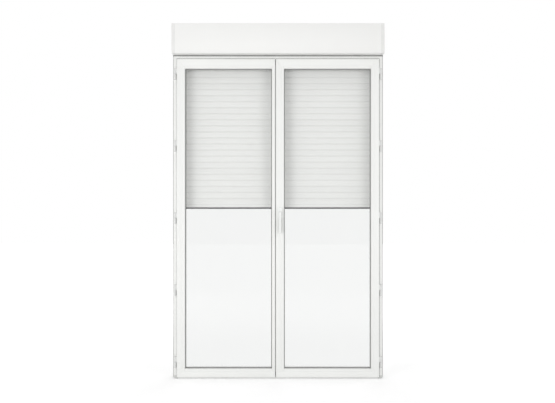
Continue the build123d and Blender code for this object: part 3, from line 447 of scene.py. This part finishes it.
def spacer_metal(colour):
    """Dull strip pricked with the small holes that open to its drying beads."""
    finish = Finish("spacer_metal")
    cells = finish.cells(420, "F1", 0.25)
    # Painted shade: the tint below makes the strip darker in its holes, where the mask is 0
    unpricked = finish.node("ValToRGB", {"stops": [(0.16, 0), (0.24, 1)]}, {"Fac": cells})["Color"]
    cloud = finish.noise(finish.place(), 70, 3, 0.6)
    return finish.surface(
        {
            "Base Color": finish.tint(colour, unpricked, 0.14),
            "Metallic": 0.75,
            "Roughness": 0.42 + cloud * 0.16,
            "Normal": finish.bump(unpricked, 0.5, 0.2 * MM),
        }
    )


def painted_casing(colour):
    """Hammered grey paint on the motor's tube."""
    finish = Finish("motor_paint")
    cloud = finish.noise(finish.place(), 25, 3, 0.6)
    return finish.surface(
        {
            "Base Color": finish.tint(colour, cloud, 0.15),
            "Roughness": 0.36 + cloud * 0.16,
            "Normal": finish.bump(finish.cells(500), 0.3, 0.3 * MM),
        }
    )


def brush_pile(colour):
    """Dense bristles that stand across the guide's slot."""
    finish = Finish("brush_pile")
    strands = finish.noise(finish.place((300, 120, 4200)), 1, 3, 0.7)
    tufts = finish.noise(finish.place(), 260, 2, 0.5)
    height = strands * 0.8 + tufts * 0.2
    return finish.surface(
        {
            "Base Color": finish.tint(colour, height, 0.6),
            "Roughness": 0.85 + strands * 0.1,
            "Normal": finish.bump(height, 0.9, 0.4 * MM),
        }
    )


def clear_glass(colour):
    """Clear float glass that lets light on to what stands behind it."""
    finish = Finish("clear_glass")
    smear = finish.noise(finish.place((1.5, 1.5, 0.6)), 6, 4, 0.6)
    glass = finish.node(
        "BsdfPrincipled",
        {},
        {
            "Base Color": (*colour, 1),
            "Roughness": smear * 0.012,
            "IOR": 1.5,
            "Transmission Weight": 1.0,
        },
    )
    clear = finish.node("BsdfTransparent", {}, {"Color": (1, 1, 1, 1)})
    path = finish.node("LightPath")
    passing = finish.either(path["Is Shadow Ray"], path["Is Diffuse Ray"])
    both = finish.node("MixShader", {}, {0: passing, 1: glass, 2: clear})
    finish.node("OutputMaterial", {}, {"Surface": both})
    return finish.material


def make_finishes(colours, sizes):
    """Every finish by name: the record's slots, and those that scene.py adds to them."""
    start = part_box("curtain_slats")[0].z
    return {
        "white_lacquer": powder_coat(colours.lacquer),
        "box_plastic": extruded_plastic("box_plastic", colours.box, 0.4),
        "slat_plastic": slat_plastic(colours.slats, sizes.slat_pitch, sizes.slat_body, start),
        "white_hardware": gloss_lacquer("gloss_lacquer", colours.hardware),
        "shaded_hinge_lacquer": gloss_lacquer("shaded_hinge_lacquer", colours.hinges),
        "clear_glass": clear_glass(colours.glass),
        "seal_rubber": rubber("seal_rubber", colours.gasket, 0.08),
        "flange_seal": rubber("flange_seal", colours.flange_seal, 0.2),
        "black_rubber": rubber("black_rubber", colours.rubber, 0.3),
        "joint_foam_and_shade": rubber("joint_foam_and_shade", colours.foam, 0.2),
        "edge_shade_strip": extruded_plastic("edge_shade_strip", colours.trim, 0.5),
        "cap_plastic": moulded_plastic("cap_plastic", colours.caps, 0.02),
        "spacer_metal": spacer_metal(colours.spacer),
        "bright_steel": plated_steel(colours.steel),
        "moulded_plastic": moulded_plastic("moulded_plastic", colours.moulded, 0.04),
        "motor_casing": painted_casing(colours.casing),
        "brush_pile": brush_pile(colours.pile),
    }


# Small steps of modelling


def only(*pieces):
    """Selects these pieces and nothing else, the last one active."""
    bpy.ops.object.select_all(action="DESELECT")
    for piece in pieces:
        piece.select_set(True)
        bpy.context.view_layer.objects.active = piece


def edit(piece):
    """Opens the piece in edit mode, selected all over."""
    only(piece)
    bpy.ops.object.mode_set(mode="EDIT")
    bpy.ops.mesh.select_all(action="SELECT")


def leave():
    """Goes back to object mode."""
    bpy.ops.object.mode_set(mode="OBJECT")


def pick(kind, test):
    """In edit mode, selects the VERT, EDGE or FACE elements that pass a test."""
    bpy.ops.mesh.select_mode(type=kind)
    bpy.ops.mesh.select_all(action="DESELECT")
    data = bpy.context.edit_object.data
    mesh = bmesh.from_edit_mesh(data)
    mesh.normal_update()
    elements = {"VERT": mesh.verts, "EDGE": mesh.edges, "FACE": mesh.faces}[kind]
    found = 0
    for element in elements:
        if test(element):
            element.select_set(True)
            found += 1
    if not found:
        raise RuntimeError(f"nothing to select on {bpy.context.edit_object.name}")
    mesh.select_flush_mode()
    bmesh.update_edit_mesh(data)


def settle(piece):
    """Puts the place, turn and size of the piece into its mesh."""
    only(piece)
    bpy.ops.object.transform_apply(location=True, rotation=True, scale=True)
    return piece


def new_block(name, low, high):
    """A box primitive between two corners, to be shaped further."""
    low, high = Vector(low), Vector(high)
    bpy.ops.object.select_all(action="DESELECT")
    bpy.ops.mesh.primitive_cube_add(size=1, location=(low + high) / 2, scale=high - low)
    piece = bpy.context.object
    piece.name = piece.data.name = name
    return settle(piece)


def extrude(offset, scale=(1, 1, 1), centre=None):
    """Extrudes what is selected by an offset and then scales it about a centre."""
    bpy.ops.mesh.extrude_region_move(TRANSFORM_OT_translate={"value": offset})
    if centre is not None:
        bpy.ops.transform.resize(value=scale, center_override=centre)


def smooth(piece, angle=35):
    """Shades the piece smooth, apart from edges sharper than an angle in degrees."""
    only(piece)
    bpy.ops.object.shade_smooth_by_angle(angle=radians(angle))


def dress(piece, material, body, slot_name, *nodes):
    """Gives the piece its finish and its body, and hides the nodes that it stands for."""
    piece.data.materials.clear()
    piece.data.materials.append(material)
    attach(piece, body)
    if nodes:
        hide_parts(*nodes)
    return piece


def own_copy(piece, name):
    """A copy with its own mesh."""
    copy = bpy.data.objects.new(name, piece.data.copy())
    copy.data.name = name
    bpy.context.collection.objects.link(copy)
    return copy


def convex(edge, least=30):
    """Whether an edge points outwards and bends by at least so many degrees."""
    return edge.is_convex and edge.calc_face_angle(0) > radians(least)


def finish_of(node):
    """The finish of a CAD piece: its own, or else its slot's."""
    return FINISHES[OWN_FINISHES.get(node, SLOTS[node])]


def softened(node, radius, segments, test):
    """A copy of a CAD node, its triangles merged, with the edges that pass a test rounded."""
    piece = own_copy(frame["nodes"][node], f"{node}_rounded")
    edit(piece)
    bpy.ops.mesh.customdata_custom_splitnormals_clear()
    same_place, same_plane = 0.001 * MM, radians(0.5)
    bpy.ops.mesh.remove_doubles(threshold=same_place)
    bpy.ops.mesh.dissolve_limited(angle_limit=same_plane)
    pick("EDGE", test)
    bpy.ops.mesh.bevel(offset=radius, segments=segments, affect="EDGES", clamp_overlap=True)
    leave()
    smooth(piece)
    return dress(piece, finish_of(node), frame["nodes"][node]["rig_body"], SLOTS[node], node)


def outer_edges(node, axes=(Y,)):
    """A test for a bar's outside edges: the long ones, and those on its faces across these axes."""
    low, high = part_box(node)

    def on_plane(edge):
        for axis in axes:
            for level in (low[axis], high[axis]):
                if all(abs(vert.co[axis] - level) < NEAR for vert in edge.verts):
                    return True
        return False

    def test(edge):
        return convex(edge) and (edge.calc_length() > LONG_EDGE or on_plane(edge))

    return test


def spindle_height():
    """The height of the handle's spindle, in the middle of the lever's round head."""
    low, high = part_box("handle_lever")
    return high.z - (high.x - low.x) / 2


# Filled by the first operator
FINISHES = {}


# The pieces


class WINDOW_OT_finishes(Operator):
    """Makes the finishes and gives each CAD piece its own"""

    bl_idname = "window_kit.finishes"
    bl_label = "Finishes"

    def execute(self, context):
        FINISHES.update(make_finishes(context.scene.window_colours, context.scene.window_sizes))
        for name, node in frame["nodes"].items():
            for holder in node.material_slots:
                holder.material = finish_of(name)
        return {"FINISHED"}


class WINDOW_OT_bars(Operator):
    """Rounds the edges of the aluminium bars and opens a fine line at each mitre"""

    bl_idname = "window_kit.bars"
    bl_label = "Aluminium bars"

    def execute(self, context):
        radius = context.scene.window_sizes.bar_edge
        for node in ALUMINIUM_BARS:
            softened(node, radius, 2, outer_edges(node))
        return {"FINISHED"}


class WINDOW_OT_box(Operator):
    """Rounds the panels of the shutter box and the rims of its end caps"""

    bl_idname = "window_kit.box"
    bl_label = "Shutter box"

    def execute(self, context):
        sizes = context.scene.window_sizes
        for node in BOX_PANELS:
            # A bevel round the base panel's ends would reach out of the CAD model's box
            axes = () if node == "box_base_panel" else (Y,)
            softened(node, sizes.box_edge, 2, outer_edges(node, axes))
        for node in BOX_ENDS:
            low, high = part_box(node)
            outside = low.x if node.endswith("left") else high.x

            def rim(edge, outside=outside):
                on_face = all(abs(vert.co.x - outside) < NEAR for vert in edge.verts)
                return on_face and convex(edge)

            softened(node, sizes.cap_edge, 3, rim)
        return {"FINISHED"}


class WINDOW_OT_hinges(Operator):
    """Rounds the knuckles, feet and wings of the hinges"""

    bl_idname = "window_kit.hinges"
    bl_label = "Hinges"

    def execute(self, context):
        radius = context.scene.window_sizes.hinge_edge
        for node in HINGE_HALVES:
            softened(node, radius, 2, lambda edge: convex(edge, 40))
        return {"FINISHED"}


class WINDOW_OT_seals(Operator):
    """Rounds the gaskets and seals, and draws out the dark lips under the leaves' flanges as painted
    shade beside the leaves
    """

    bl_idname = "window_kit.seals"
    bl_label = "Seals"

    def execute(self, context):
        radius = context.scene.window_sizes.strip_edge
        for node in RUBBER_STRIPS:
            piece = softened(node, radius, 2, outer_edges(node))
            if node != "frame_seal":
                self.part_flange_seals(piece, node)
        softened("end_slat", radius, 2, outer_edges("end_slat"))
        return {"FINISHED"}

    def part_flange_seals(self, piece, node):
        """Parts the dark lips under a leaf's flange from its paler glazing gaskets."""
        reach = bpy.context.scene.window_sizes.shade_lip_reach
        behind_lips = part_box("frame_head")[0].y + 5 * MM
        edit(piece)
        pick("FACE", lambda face: face.calc_center_median().y < behind_lips)
        bpy.ops.mesh.separate(type="SELECTED")
        leave()
        lips = next(other for other in bpy.context.selected_objects if other is not piece)
        lips.name = lips.data.name = f"{piece.name}_flange_seals"
        self.widen(lips, Z, reach)
        # Painted shade: the lips reach out on the right too, where the leaf casts its shadow
        if node.startswith("right"):
            self.widen(lips, X, reach / 2)
        body = frame["nodes"][node]["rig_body"]
        dress(lips, FINISHES["flange_seal"], body, SLOTS[node], node)

    def widen(self, lips, axis, reach):
        """Draws the lips' edge further out along an axis, so that it shows beyond the flange as a
        line of painted shade.
        """
        outside = max(vert.co[axis] for vert in lips.data.vertices)
        edge = 1 * MM
        edit(lips)
        pick("VERT", lambda vert: vert.co[axis] > outside - edge)
        offset = Vector((0, 0, 0))
        offset[axis] = reach
        bpy.ops.transform.translate(value=offset)
        leave()


class WINDOW_OT_mitre_keys(Operator):
    """Closes the small opening that the mitre leaves beside each corner of the glazing beads"""

    bl_idname = "window_kit.mitre_keys"
    bl_label = "Mitre keys"

    def execute(self, context):
        width = context.scene.window_sizes.mitre_key
        setback, depth, overlap = 0.4 * MM, 5 * MM, 1 * MM
        for side in ("left", "right"):
            low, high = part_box(f"{side}_leaf_beads")
            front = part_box(f"{side}_leaf_top_rail")[0].y + setback
            for across, x, inward in (("outer", low.x, 1), ("inner", high.x, -1)):
                for end, z, outward in (("top", high.z, 1), ("bottom", low.z, -1)):
                    xs = sorted((x - inward * overlap, x + inward * width))
                    zs = sorted((z - outward * overlap, z + outward * width))
                    key = new_block(
                        f"{side}_mitre_key_{across}_{end}",
                        (xs[0], front, zs[0]),
                        (xs[1], front + depth, zs[1]),
                    )
                    dress(key, FINISHES["white_lacquer"], f"{side}_leaf", "white_lacquer")
        return {"FINISHED"}


class WINDOW_OT_edge_strips(Operator):
    """Lays foam tape in the head's outer step and a trim strip in each jamb's; the tape's dark is
    partly painted shade under the box, the strips' grey is painted shade along the jambs' outer
    edges
    """

    bl_idname = "window_kit.edge_strips"
    bl_label = "Edge strips"

    def execute(self, context):
        sizes = context.scene.window_sizes
        low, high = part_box("frame_head")
        slack = 0.3 * MM
        floor = low.y + sizes.step_depth
        face = floor - sizes.strip
        inner = high.z - sizes.step_width + slack
        # Partly painted shade: real foam tape, made dark for the shade line under the box
        tape = new_block(
            "joint_tape", (low.x + slack, face, inner), (high.x - slack, floor, high.z - slack)
        )
        self.soften(tape, sizes)
        dress(tape, FINISHES["joint_foam_and_shade"], "window_frame", "seal_rubber")
        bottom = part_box("frame_jamb_left")[0].z
        for side, edge in (("left", low.x), ("right", high.x)):
            turn = 1 if side == "left" else -1
            ends = sorted((edge + turn * slack, edge + turn * (sizes.step_width - slack)))
            strip = new_block(
                f"{side}_edge_shade_strip",
                (ends[0], face, bottom + slack),
                (ends[1], floor, inner - slack),
            )
            self.soften(strip, sizes)
            dress(strip, FINISHES["edge_shade_strip"], "window_frame", "moulded_plastic")
        return {"FINISHED"}

    def soften(self, piece, sizes):
        """Rounds the long edges of a strip."""
        edit(piece)
        pick("EDGE", lambda edge: edge.calc_length() > LONG_EDGE)
        bpy.ops.mesh.bevel(offset=sizes.strip_edge, segments=2, affect="EDGES")
        leave()
        smooth(piece)


class WINDOW_OT_curtain(Operator):
    """Models one slat and hangs the curtain from copies of it"""

    bl_idname = "window_kit.curtain"
    bl_label = "Curtain"

    def execute(self, context):
        sizes = context.scene.window_sizes
        low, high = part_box("curtain_slats")
        plane = (low.y + high.y) / 2
        master = self.slat(sizes, low, high, plane)
        nested = self.nested(master, sizes, low, high, plane)
        # A row holds a full slat and a nested one, each with a weight for its row: with the curtain
        # lowered all the way, the full ones would hang in every other row and the nested ones
        # between them.
        travel = -JOINTS["curtain_slide"]["range_m"][0]
        step = sizes.slat_pitch / travel
        for index in range(sizes.slats):
            height = index * sizes.slat_pitch
            for pattern, name, rows_up in (
                (master, f"slat_{index:02d}", index),
                (nested, f"nested_slat_{index:02d}", index + 1),
            ):
                self.hang(pattern, name, height, 1 - step * rows_up, plane)
        for spare in (master, nested):
            bpy.data.objects.remove(spare)
        return {"FINISHED"}

    def slat(self, sizes, low, high, plane):
        """One slat: body with a line along its middle, neck and hook above, channel below."""
        bottom, top = low.z, low.z + sizes.slat_body
        middle = bottom + sizes.slat_pitch / 2
        half = (high.y - low.y) / 2
        piece = new_block("slat", (low.x, low.y, bottom), (high.x, high.y, top))
        line = sizes.slat_line
        rim, round_end, dip_end = 1.2 * MM, 3 * MM, 4 * MM
        # How far the front stands back at each height
        front = {
            bottom: 0.2 * half,
            bottom + rim: 0.03 * half,
            bottom + round_end: 0,
            middle - dip_end: 0,
            middle - line: 0.08 * line,
            middle: line,
            middle + line: 0.08 * line,
            middle + dip_end: 0,
            top - round_end: 0,
            top - rim: 0.05 * half,
            top: 0.3 * half,
        }
        edit(piece)
        for height in front:
            if bottom < height < top:
                bpy.ops.mesh.select_all(action="SELECT")
                bpy.ops.mesh.bisect(plane_co=(0, 0, height), plane_no=(0, 0, 1))
        for height, inward in front.items():
            self.shift(height, plane, -1, inward)
            # The back curves inwards to both ends
            share = (height - bottom) / (top - bottom)
            self.shift(height, plane, 1, -half * 0.6 * (2 * share - 1) ** 2)
        shoulder, foot = 1.3 * half, 1.2 * half
        neck, neck_rise = 1.2 * MM, 7.4 * MM
        hook, hook_rise = 3.2 * MM, 1.4 * MM
        mouth, mouth_rise = 2 * MM, 2 * MM
        channel, channel_rise = 4.2 * MM, 3 * MM
        pick("FACE", self.level_face(1, top))
        self.stem(plane, shoulder, neck, top, neck_rise)
        pick("FACE", self.level_face(1, top + neck_rise))
        self.stem(plane, neck, hook, top + neck_rise, hook_rise)
        pick("FACE", self.level_face(-1, bottom))
        self.stem(plane, foot, mouth, bottom, mouth_rise)
        pick("FACE", self.level_face(-1, bottom + mouth_rise))
        self.stem(plane, mouth, channel, bottom + mouth_rise, channel_rise)
        leave()
        smooth(piece, 28)
        return piece

    def shift(self, height, plane, side, amount):
        """Moves one row of a face's vertices in or out."""
        if not amount:
            return

        def in_row(vert):
            return abs(vert.co.z - height) < NEAR and side * (vert.co.y - plane) > 0

        pick("VERT", in_row)
        bpy.ops.transform.translate(value=(0, amount, 0))

    def stem(self, plane, width, new_width, height, rise):
        """Extrudes the selected strip on the spot, gives it a new width and extrudes it upwards."""
        extrude((0, 0, 0), (1, new_width / width, 1), (0, plane, height))
        extrude((0, 0, rise))

    def level_face(self, side, height):
        """A test for a level face at a height, which looks up (1) or down (-1)."""

        def test(face):
            return face.normal.z * side > 0.9 and abs(face.calc_center_median().z - height) < NEAR

        return test

    def nested(self, master, sizes, low, high, plane):
        """A slat slightly smaller all round, which hides in its row's full slat until they part."""
        piece = own_copy(master, "nested_slat")
        half = high.y - plane
        nest = sizes.slat_nest
        centre = (0, plane, low.z + sizes.slat_body / 2)
        edit(piece)
        bpy.ops.transform.resize(
            value=(1 - nest / -low.x, 1 - nest / half, 1 - 2 * nest / sizes.slat_body),
            center_override=centre,
        )
        leave()
        return piece

    def hang(self, pattern, name, height, weight, plane):
        """A copy in its row, with the slat finish, in place of the CAD slats."""
        piece = own_copy(pattern, name)
        piece.location.z = height
        settle(piece)
        piece.data.materials.clear()
        piece.data.materials.append(FINISHES["slat_plastic"])
        # The blend rises as a smooth step, so this is the place on it that has the slat's weight.
        share = 0.5 - sin(asin(1 - 2 * weight) / 3)
        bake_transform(piece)
        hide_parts("curtain_slats")


# The lever's grip from its root down, in steps: drop, width, depth and setback, the first and
# the last in millimetres and the others as shares of the step before
GRIP_STEPS = (
    (6, 0.9, 1, 0.5),
    (22, 0.88, 0.92, 1.5),
    (42, 1.06, 0.92, 1.5),
    (32, 1.08, 0.95, 0.5),
    (10, 0.96, 0.9, 0),
    (3, 0.8, 0.8, 0),
)


class WINDOW_OT_handle(Operator):
    """Models the handle's lever as one smooth body"""

    bl_idname = "window_kit.handle"
    bl_label = "Handle"

    def execute(self, context):
        low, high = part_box("handle_lever")
        x = (low.x + high.x) / 2
        half = (high.x - low.x) / 2
        spindle_z = spindle_height()
        grip, flare, neck, foot = 12 * MM, 3 * MM, 8 * MM, 2 * MM
        front, grip_back = low.y, low.y + grip
        piece = new_block(
            "lever", (x - half, front, spindle_z - half), (x + half, grip_back, high.z)
        )
        edit(piece)
        pick("FACE", lambda face: face.normal.y > 0.9)
        centre = (x, grip_back, spindle_z)
        extrude((0, flare, 0), (0.95, 1, 0.95), centre)
        extrude((0, neck, 0), (0.97, 1, 0.97), centre)
        extrude((0, high.y - grip_back - flare - neck - foot, 0))
        extrude((0, foot, 0))
        pick("FACE", lambda face: face.normal.z < -0.9)
        centre = (x, (front + grip_back) / 2, spindle_z)
        for drop, wide, deep, back in GRIP_STEPS:
            extrude((0, back * MM, -drop * MM), (wide, deep, 1), centre)
        leave()
        modifier = piece.modifiers.new("round", "SUBSURF")
        modifier.levels = modifier.render_levels = 3
        only(piece)
        bpy.ops.object.modifier_apply(modifier="round")
        self.fit(piece, low, high)
        smooth(piece, 60)
        dress(piece, FINISHES["white_hardware"], "handle", "white_hardware", "handle_lever")
        return {"FINISHED"}

    def fit(self, piece, low, high):
        """Stretches the piece to fill the box of the solid that it stands for."""
        points = [vert.co for vert in piece.data.vertices]
        least = Vector([min(point[axis] for point in points) for axis in range(3)])
        most = Vector([max(point[axis] for point in points) for axis in range(3)])
        edit(piece)
        scale = [(high[axis] - low[axis]) / (most[axis] - least[axis]) for axis in range(3)]
        bpy.ops.transform.resize(value=scale, center_override=least)
        bpy.ops.transform.translate(value=low - least)
        leave()


class WINDOW_OT_screws(Operator):
    """Models one cross-head screw and sets copies of it in the lock's plates"""

    bl_idname = "window_kit.screws"
    bl_label = "Screws"

    def execute(self, context):
        pattern = self.screw(context.scene.window_sizes.screw)
        spindle_z = spindle_height()
        low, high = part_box("lock_faceplate")
        middle = (low.y + high.y) / 2
        end_inset = 14 * MM
        heights = [low.z + end_inset, high.z - end_inset]
        heights += [spindle_z + rise * MM for rise in (-550, -310, -80, 80, 330, 510)]
        for index, height in enumerate(heights):
            name = f"faceplate_screw_{index}"
            self.set_in(pattern, name, low.x, middle, height, -1, "right_leaf")
        low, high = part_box("left_leaf_strike_plates")
        middle = (low.y + high.y) / 2
        half_plate, from_spindle, spread = 35 * MM, 150 * MM, 26 * MM
        strikes = [low.z + half_plate, spindle_z - from_spindle]
        strikes += [spindle_z + from_spindle, high.z - half_plate]
        for index, strike in enumerate(strikes):
            for end, offset in (("low", -spread), ("high", spread)):
                name = f"strike_screw_{index}_{end}"
                self.set_in(pattern, name, high.x, middle, strike + offset, 1, "left_leaf")
        bpy.data.objects.remove(pattern)
        return {"FINISHED"}

    def screw(self, radius):
        """A low domed head facing +X with a cross cut into it."""
        head, rounding = 0.8 * MM, 0.35 * MM
        cross, half_slot, cross_front = radius * 0.6, 0.35 * MM, 0.5 * MM
        bpy.ops.object.select_all(action="DESELECT")
        bpy.ops.mesh.primitive_cylinder_add(
            vertices=24, radius=radius, depth=head, rotation=(0, pi / 2, 0)
        )
        piece = settle(bpy.context.object)
        piece.name = "screw"
        edit(piece)
        pick("EDGE", lambda edge: all(vert.co.x > 0 for vert in edge.verts))
        bpy.ops.mesh.bevel(offset=rounding, segments=2, affect="EDGES")
        leave()
        for half_y, half_z in ((cross, half_slot), (half_slot, cross)):
            cutter = new_block("cutter", (0, -half_y, -half_z), (cross_front, half_y, half_z))
            cut = piece.modifiers.new("cut", "BOOLEAN")
            cut.operation, cut.solver, cut.object = "DIFFERENCE", "EXACT", cutter
            only(piece)
            bpy.ops.object.modifier_apply(modifier="cut")
            bpy.data.objects.remove(cutter)
        smooth(piece)
        return piece

    def set_in(self, pattern, name, face, y, z, side, body):
        """A copy on a plate's face, which looks along X by side 1 and against it by side -1."""
        piece = own_copy(pattern, name)
        if side < 0:
            piece.rotation_euler.z = pi
        piece.location = (face, y, z)
        settle(piece)
        dress(piece, FINISHES["bright_steel"], body, "bright_steel")


class WINDOW_OT_stage(Operator):
    """Lays the pale floor and sets the lamps and the camera"""

    bl_idname = "window_kit.stage"
    bl_label = "Stage"

    def execute(self, context):
        sizes = context.scene.window_stage
        self.floor()
        self.sky(sizes.sky)
        aside, ahead, height, side_size = 2.25, -3.9, 1.0, 1.8
        back_place, back_size = (0.6, 3.9, 2.4), 2.4
        self.lamp("left_lamp", (-aside, ahead, height), side_size, sizes.left_watts)
        self.lamp("right_lamp", (aside, ahead, height), side_size, sizes.right_watts)
        self.lamp("back_lamp", back_place, back_size, sizes.back_watts)
        camera = bpy.data.cameras.new("camera")
        camera.lens = sizes.lens
        camera.sensor_fit = "HORIZONTAL"
        camera.sensor_width = 36
        holder = bpy.data.objects.new("camera", camera)
        context.scene.collection.objects.link(holder)
        holder.location = (sizes.camera_x, sizes.camera_y, sizes.camera_z)
        holder.rotation_euler = (pi / 2, 0, 0)
        context.scene.camera = holder
        context.scene.view_settings.view_transform = "Standard"
        return {"FINISHED"}

    def background_rays(self, finish):
        """1 for rays that should meet the plain white background."""
        path = finish.node("LightPath")
        direct = finish.either(path["Is Camera Ray"], path["Is Glossy Ray"])
        return finish.either(direct, path["Is Transmission Ray"])

    def floor(self):
        """A matt floor that glows up to white away from the window and stays in shade under it."""
        bpy.ops.object.select_all(action="DESELECT")
        bpy.ops.mesh.primitive_plane_add(size=30)
        floor = bpy.context.object
        floor.name = "floor"
        finish = Finish("floor")
        seen = self.background_rays(finish)
        here = finish.node("TexCoord")["Object"]
        away = finish.node("VectorMath", {"operation": "LENGTH"}, {0: here})["Value"]
        near, far, near_glow, far_glow = 0.9, 2.8, 0.33, 1.0
        sockets = {"Value": away, "From Min": near, "From Max": far}
        sockets |= {"To Min": near_glow, "To Max": far_glow}
        reach = finish.node("MapRange", {"interpolation_type": "SMOOTHSTEP"}, sockets)
        matt = finish.node("BsdfDiffuse", {}, {"Color": (0.8, 0.8, 0.8, 1)})
        glow = finish.node("Emission", {}, {"Color": reach * seen})
        lit = finish.node("AddShader", {}, {0: matt, 1: glow})
        # Through the glass the floor is as white as the background
        plain = finish.node("Emission", {}, {"Color": (1, 1, 1, 1)})
        through_glass = finish.node("LightPath")["Is Transmission Ray"]
        both = finish.node("MixShader", {}, {0: through_glass, 1: lit, 2: plain})
        finish.node("OutputMaterial", {}, {"Surface": both})
        floor.data.materials.append(finish.material)

    def sky(self, strength):
        """A world that looks white and lights the window evenly with a lower strength."""
        world = bpy.data.worlds.new("studio")
        world.use_nodes = True
        finish = Finish("studio", world.node_tree)
        seen = self.background_rays(finish)
        level = seen * (1 - strength) + strength
        light = finish.node("Background", {}, {"Color": (1, 1, 1, 1), "Strength": level})
        finish.node("OutputWorld", {}, {"Surface": light})
        bpy.context.scene.world = world

    def lamp(self, name, place, size, watts):
        """A square lamp that faces the window's middle and isn't seen or mirrored."""
        aim = Vector((0, 0, 0.98))
        light = bpy.data.lights.new(name, "AREA")
        light.shape, light.size, light.energy = "SQUARE", size, watts
        holder = bpy.data.objects.new(name, light)
        bpy.context.scene.collection.objects.link(holder)
        holder.location = place
        holder.rotation_euler = (aim - Vector(place)).to_track_quat("-Z", "Y").to_euler()
        holder.visible_camera = holder.visible_transmission = holder.visible_glossy = False


class WINDOW_PT_panel(Panel):
    """The window's steps and sizes"""

    bl_label = "Window with roller shutter"
    bl_idname = "WINDOW_PT_panel"
    bl_space_type = "VIEW_3D"
    bl_region_type = "UI"
    bl_category = "Window"

    def draw(self, context):
        for step in STEPS:
            self.layout.operator(step.bl_idname)
        for group in ("window_colours", "window_sizes", "window_stage"):
            values = getattr(context.scene, group)
            column = self.layout.column()
            for name in values.bl_rna.properties.keys():
                if name not in ("rna_type", "name"):
                    column.prop(values, name)


STEPS = (
    WINDOW_OT_finishes,
    WINDOW_OT_bars,
    WINDOW_OT_box,
    WINDOW_OT_hinges,
    WINDOW_OT_seals,
    WINDOW_OT_mitre_keys,
    WINDOW_OT_edge_strips,
    WINDOW_OT_curtain,
    WINDOW_OT_handle,
    WINDOW_OT_screws,
    WINDOW_OT_stage,
)
GROUPS = {
    "window_colours": WindowColours,
    "window_sizes": WindowSizes,
    "window_stage": StageSizes,
}


def register():
    for group in GROUPS.values():
        bpy.utils.register_class(group)
    for step in STEPS:
        bpy.utils.register_class(step)
    bpy.utils.register_class(WINDOW_PT_panel)
    for name, group in GROUPS.items():
        setattr(bpy.types.Scene, name, PointerProperty(type=group))


def unregister():
    for name in GROUPS:
        delattr(bpy.types.Scene, name)
    bpy.utils.unregister_class(WINDOW_PT_panel)
    for step in reversed(STEPS):
        bpy.utils.unregister_class(step)
    for group in GROUPS.values():
        bpy.utils.unregister_class(group)


def main():
    register()
    bpy.ops.window_kit.finishes()
    bpy.ops.window_kit.bars()
    bpy.ops.window_kit.box()
    bpy.ops.window_kit.hinges()
    bpy.ops.window_kit.seals()
    bpy.ops.window_kit.mitre_keys()
    bpy.ops.window_kit.edge_strips()
    bpy.ops.window_kit.curtain()
    bpy.ops.window_kit.handle()
    bpy.ops.window_kit.screws()
    bpy.ops.window_kit.stage()


if __name__ == "__main__":
    main()
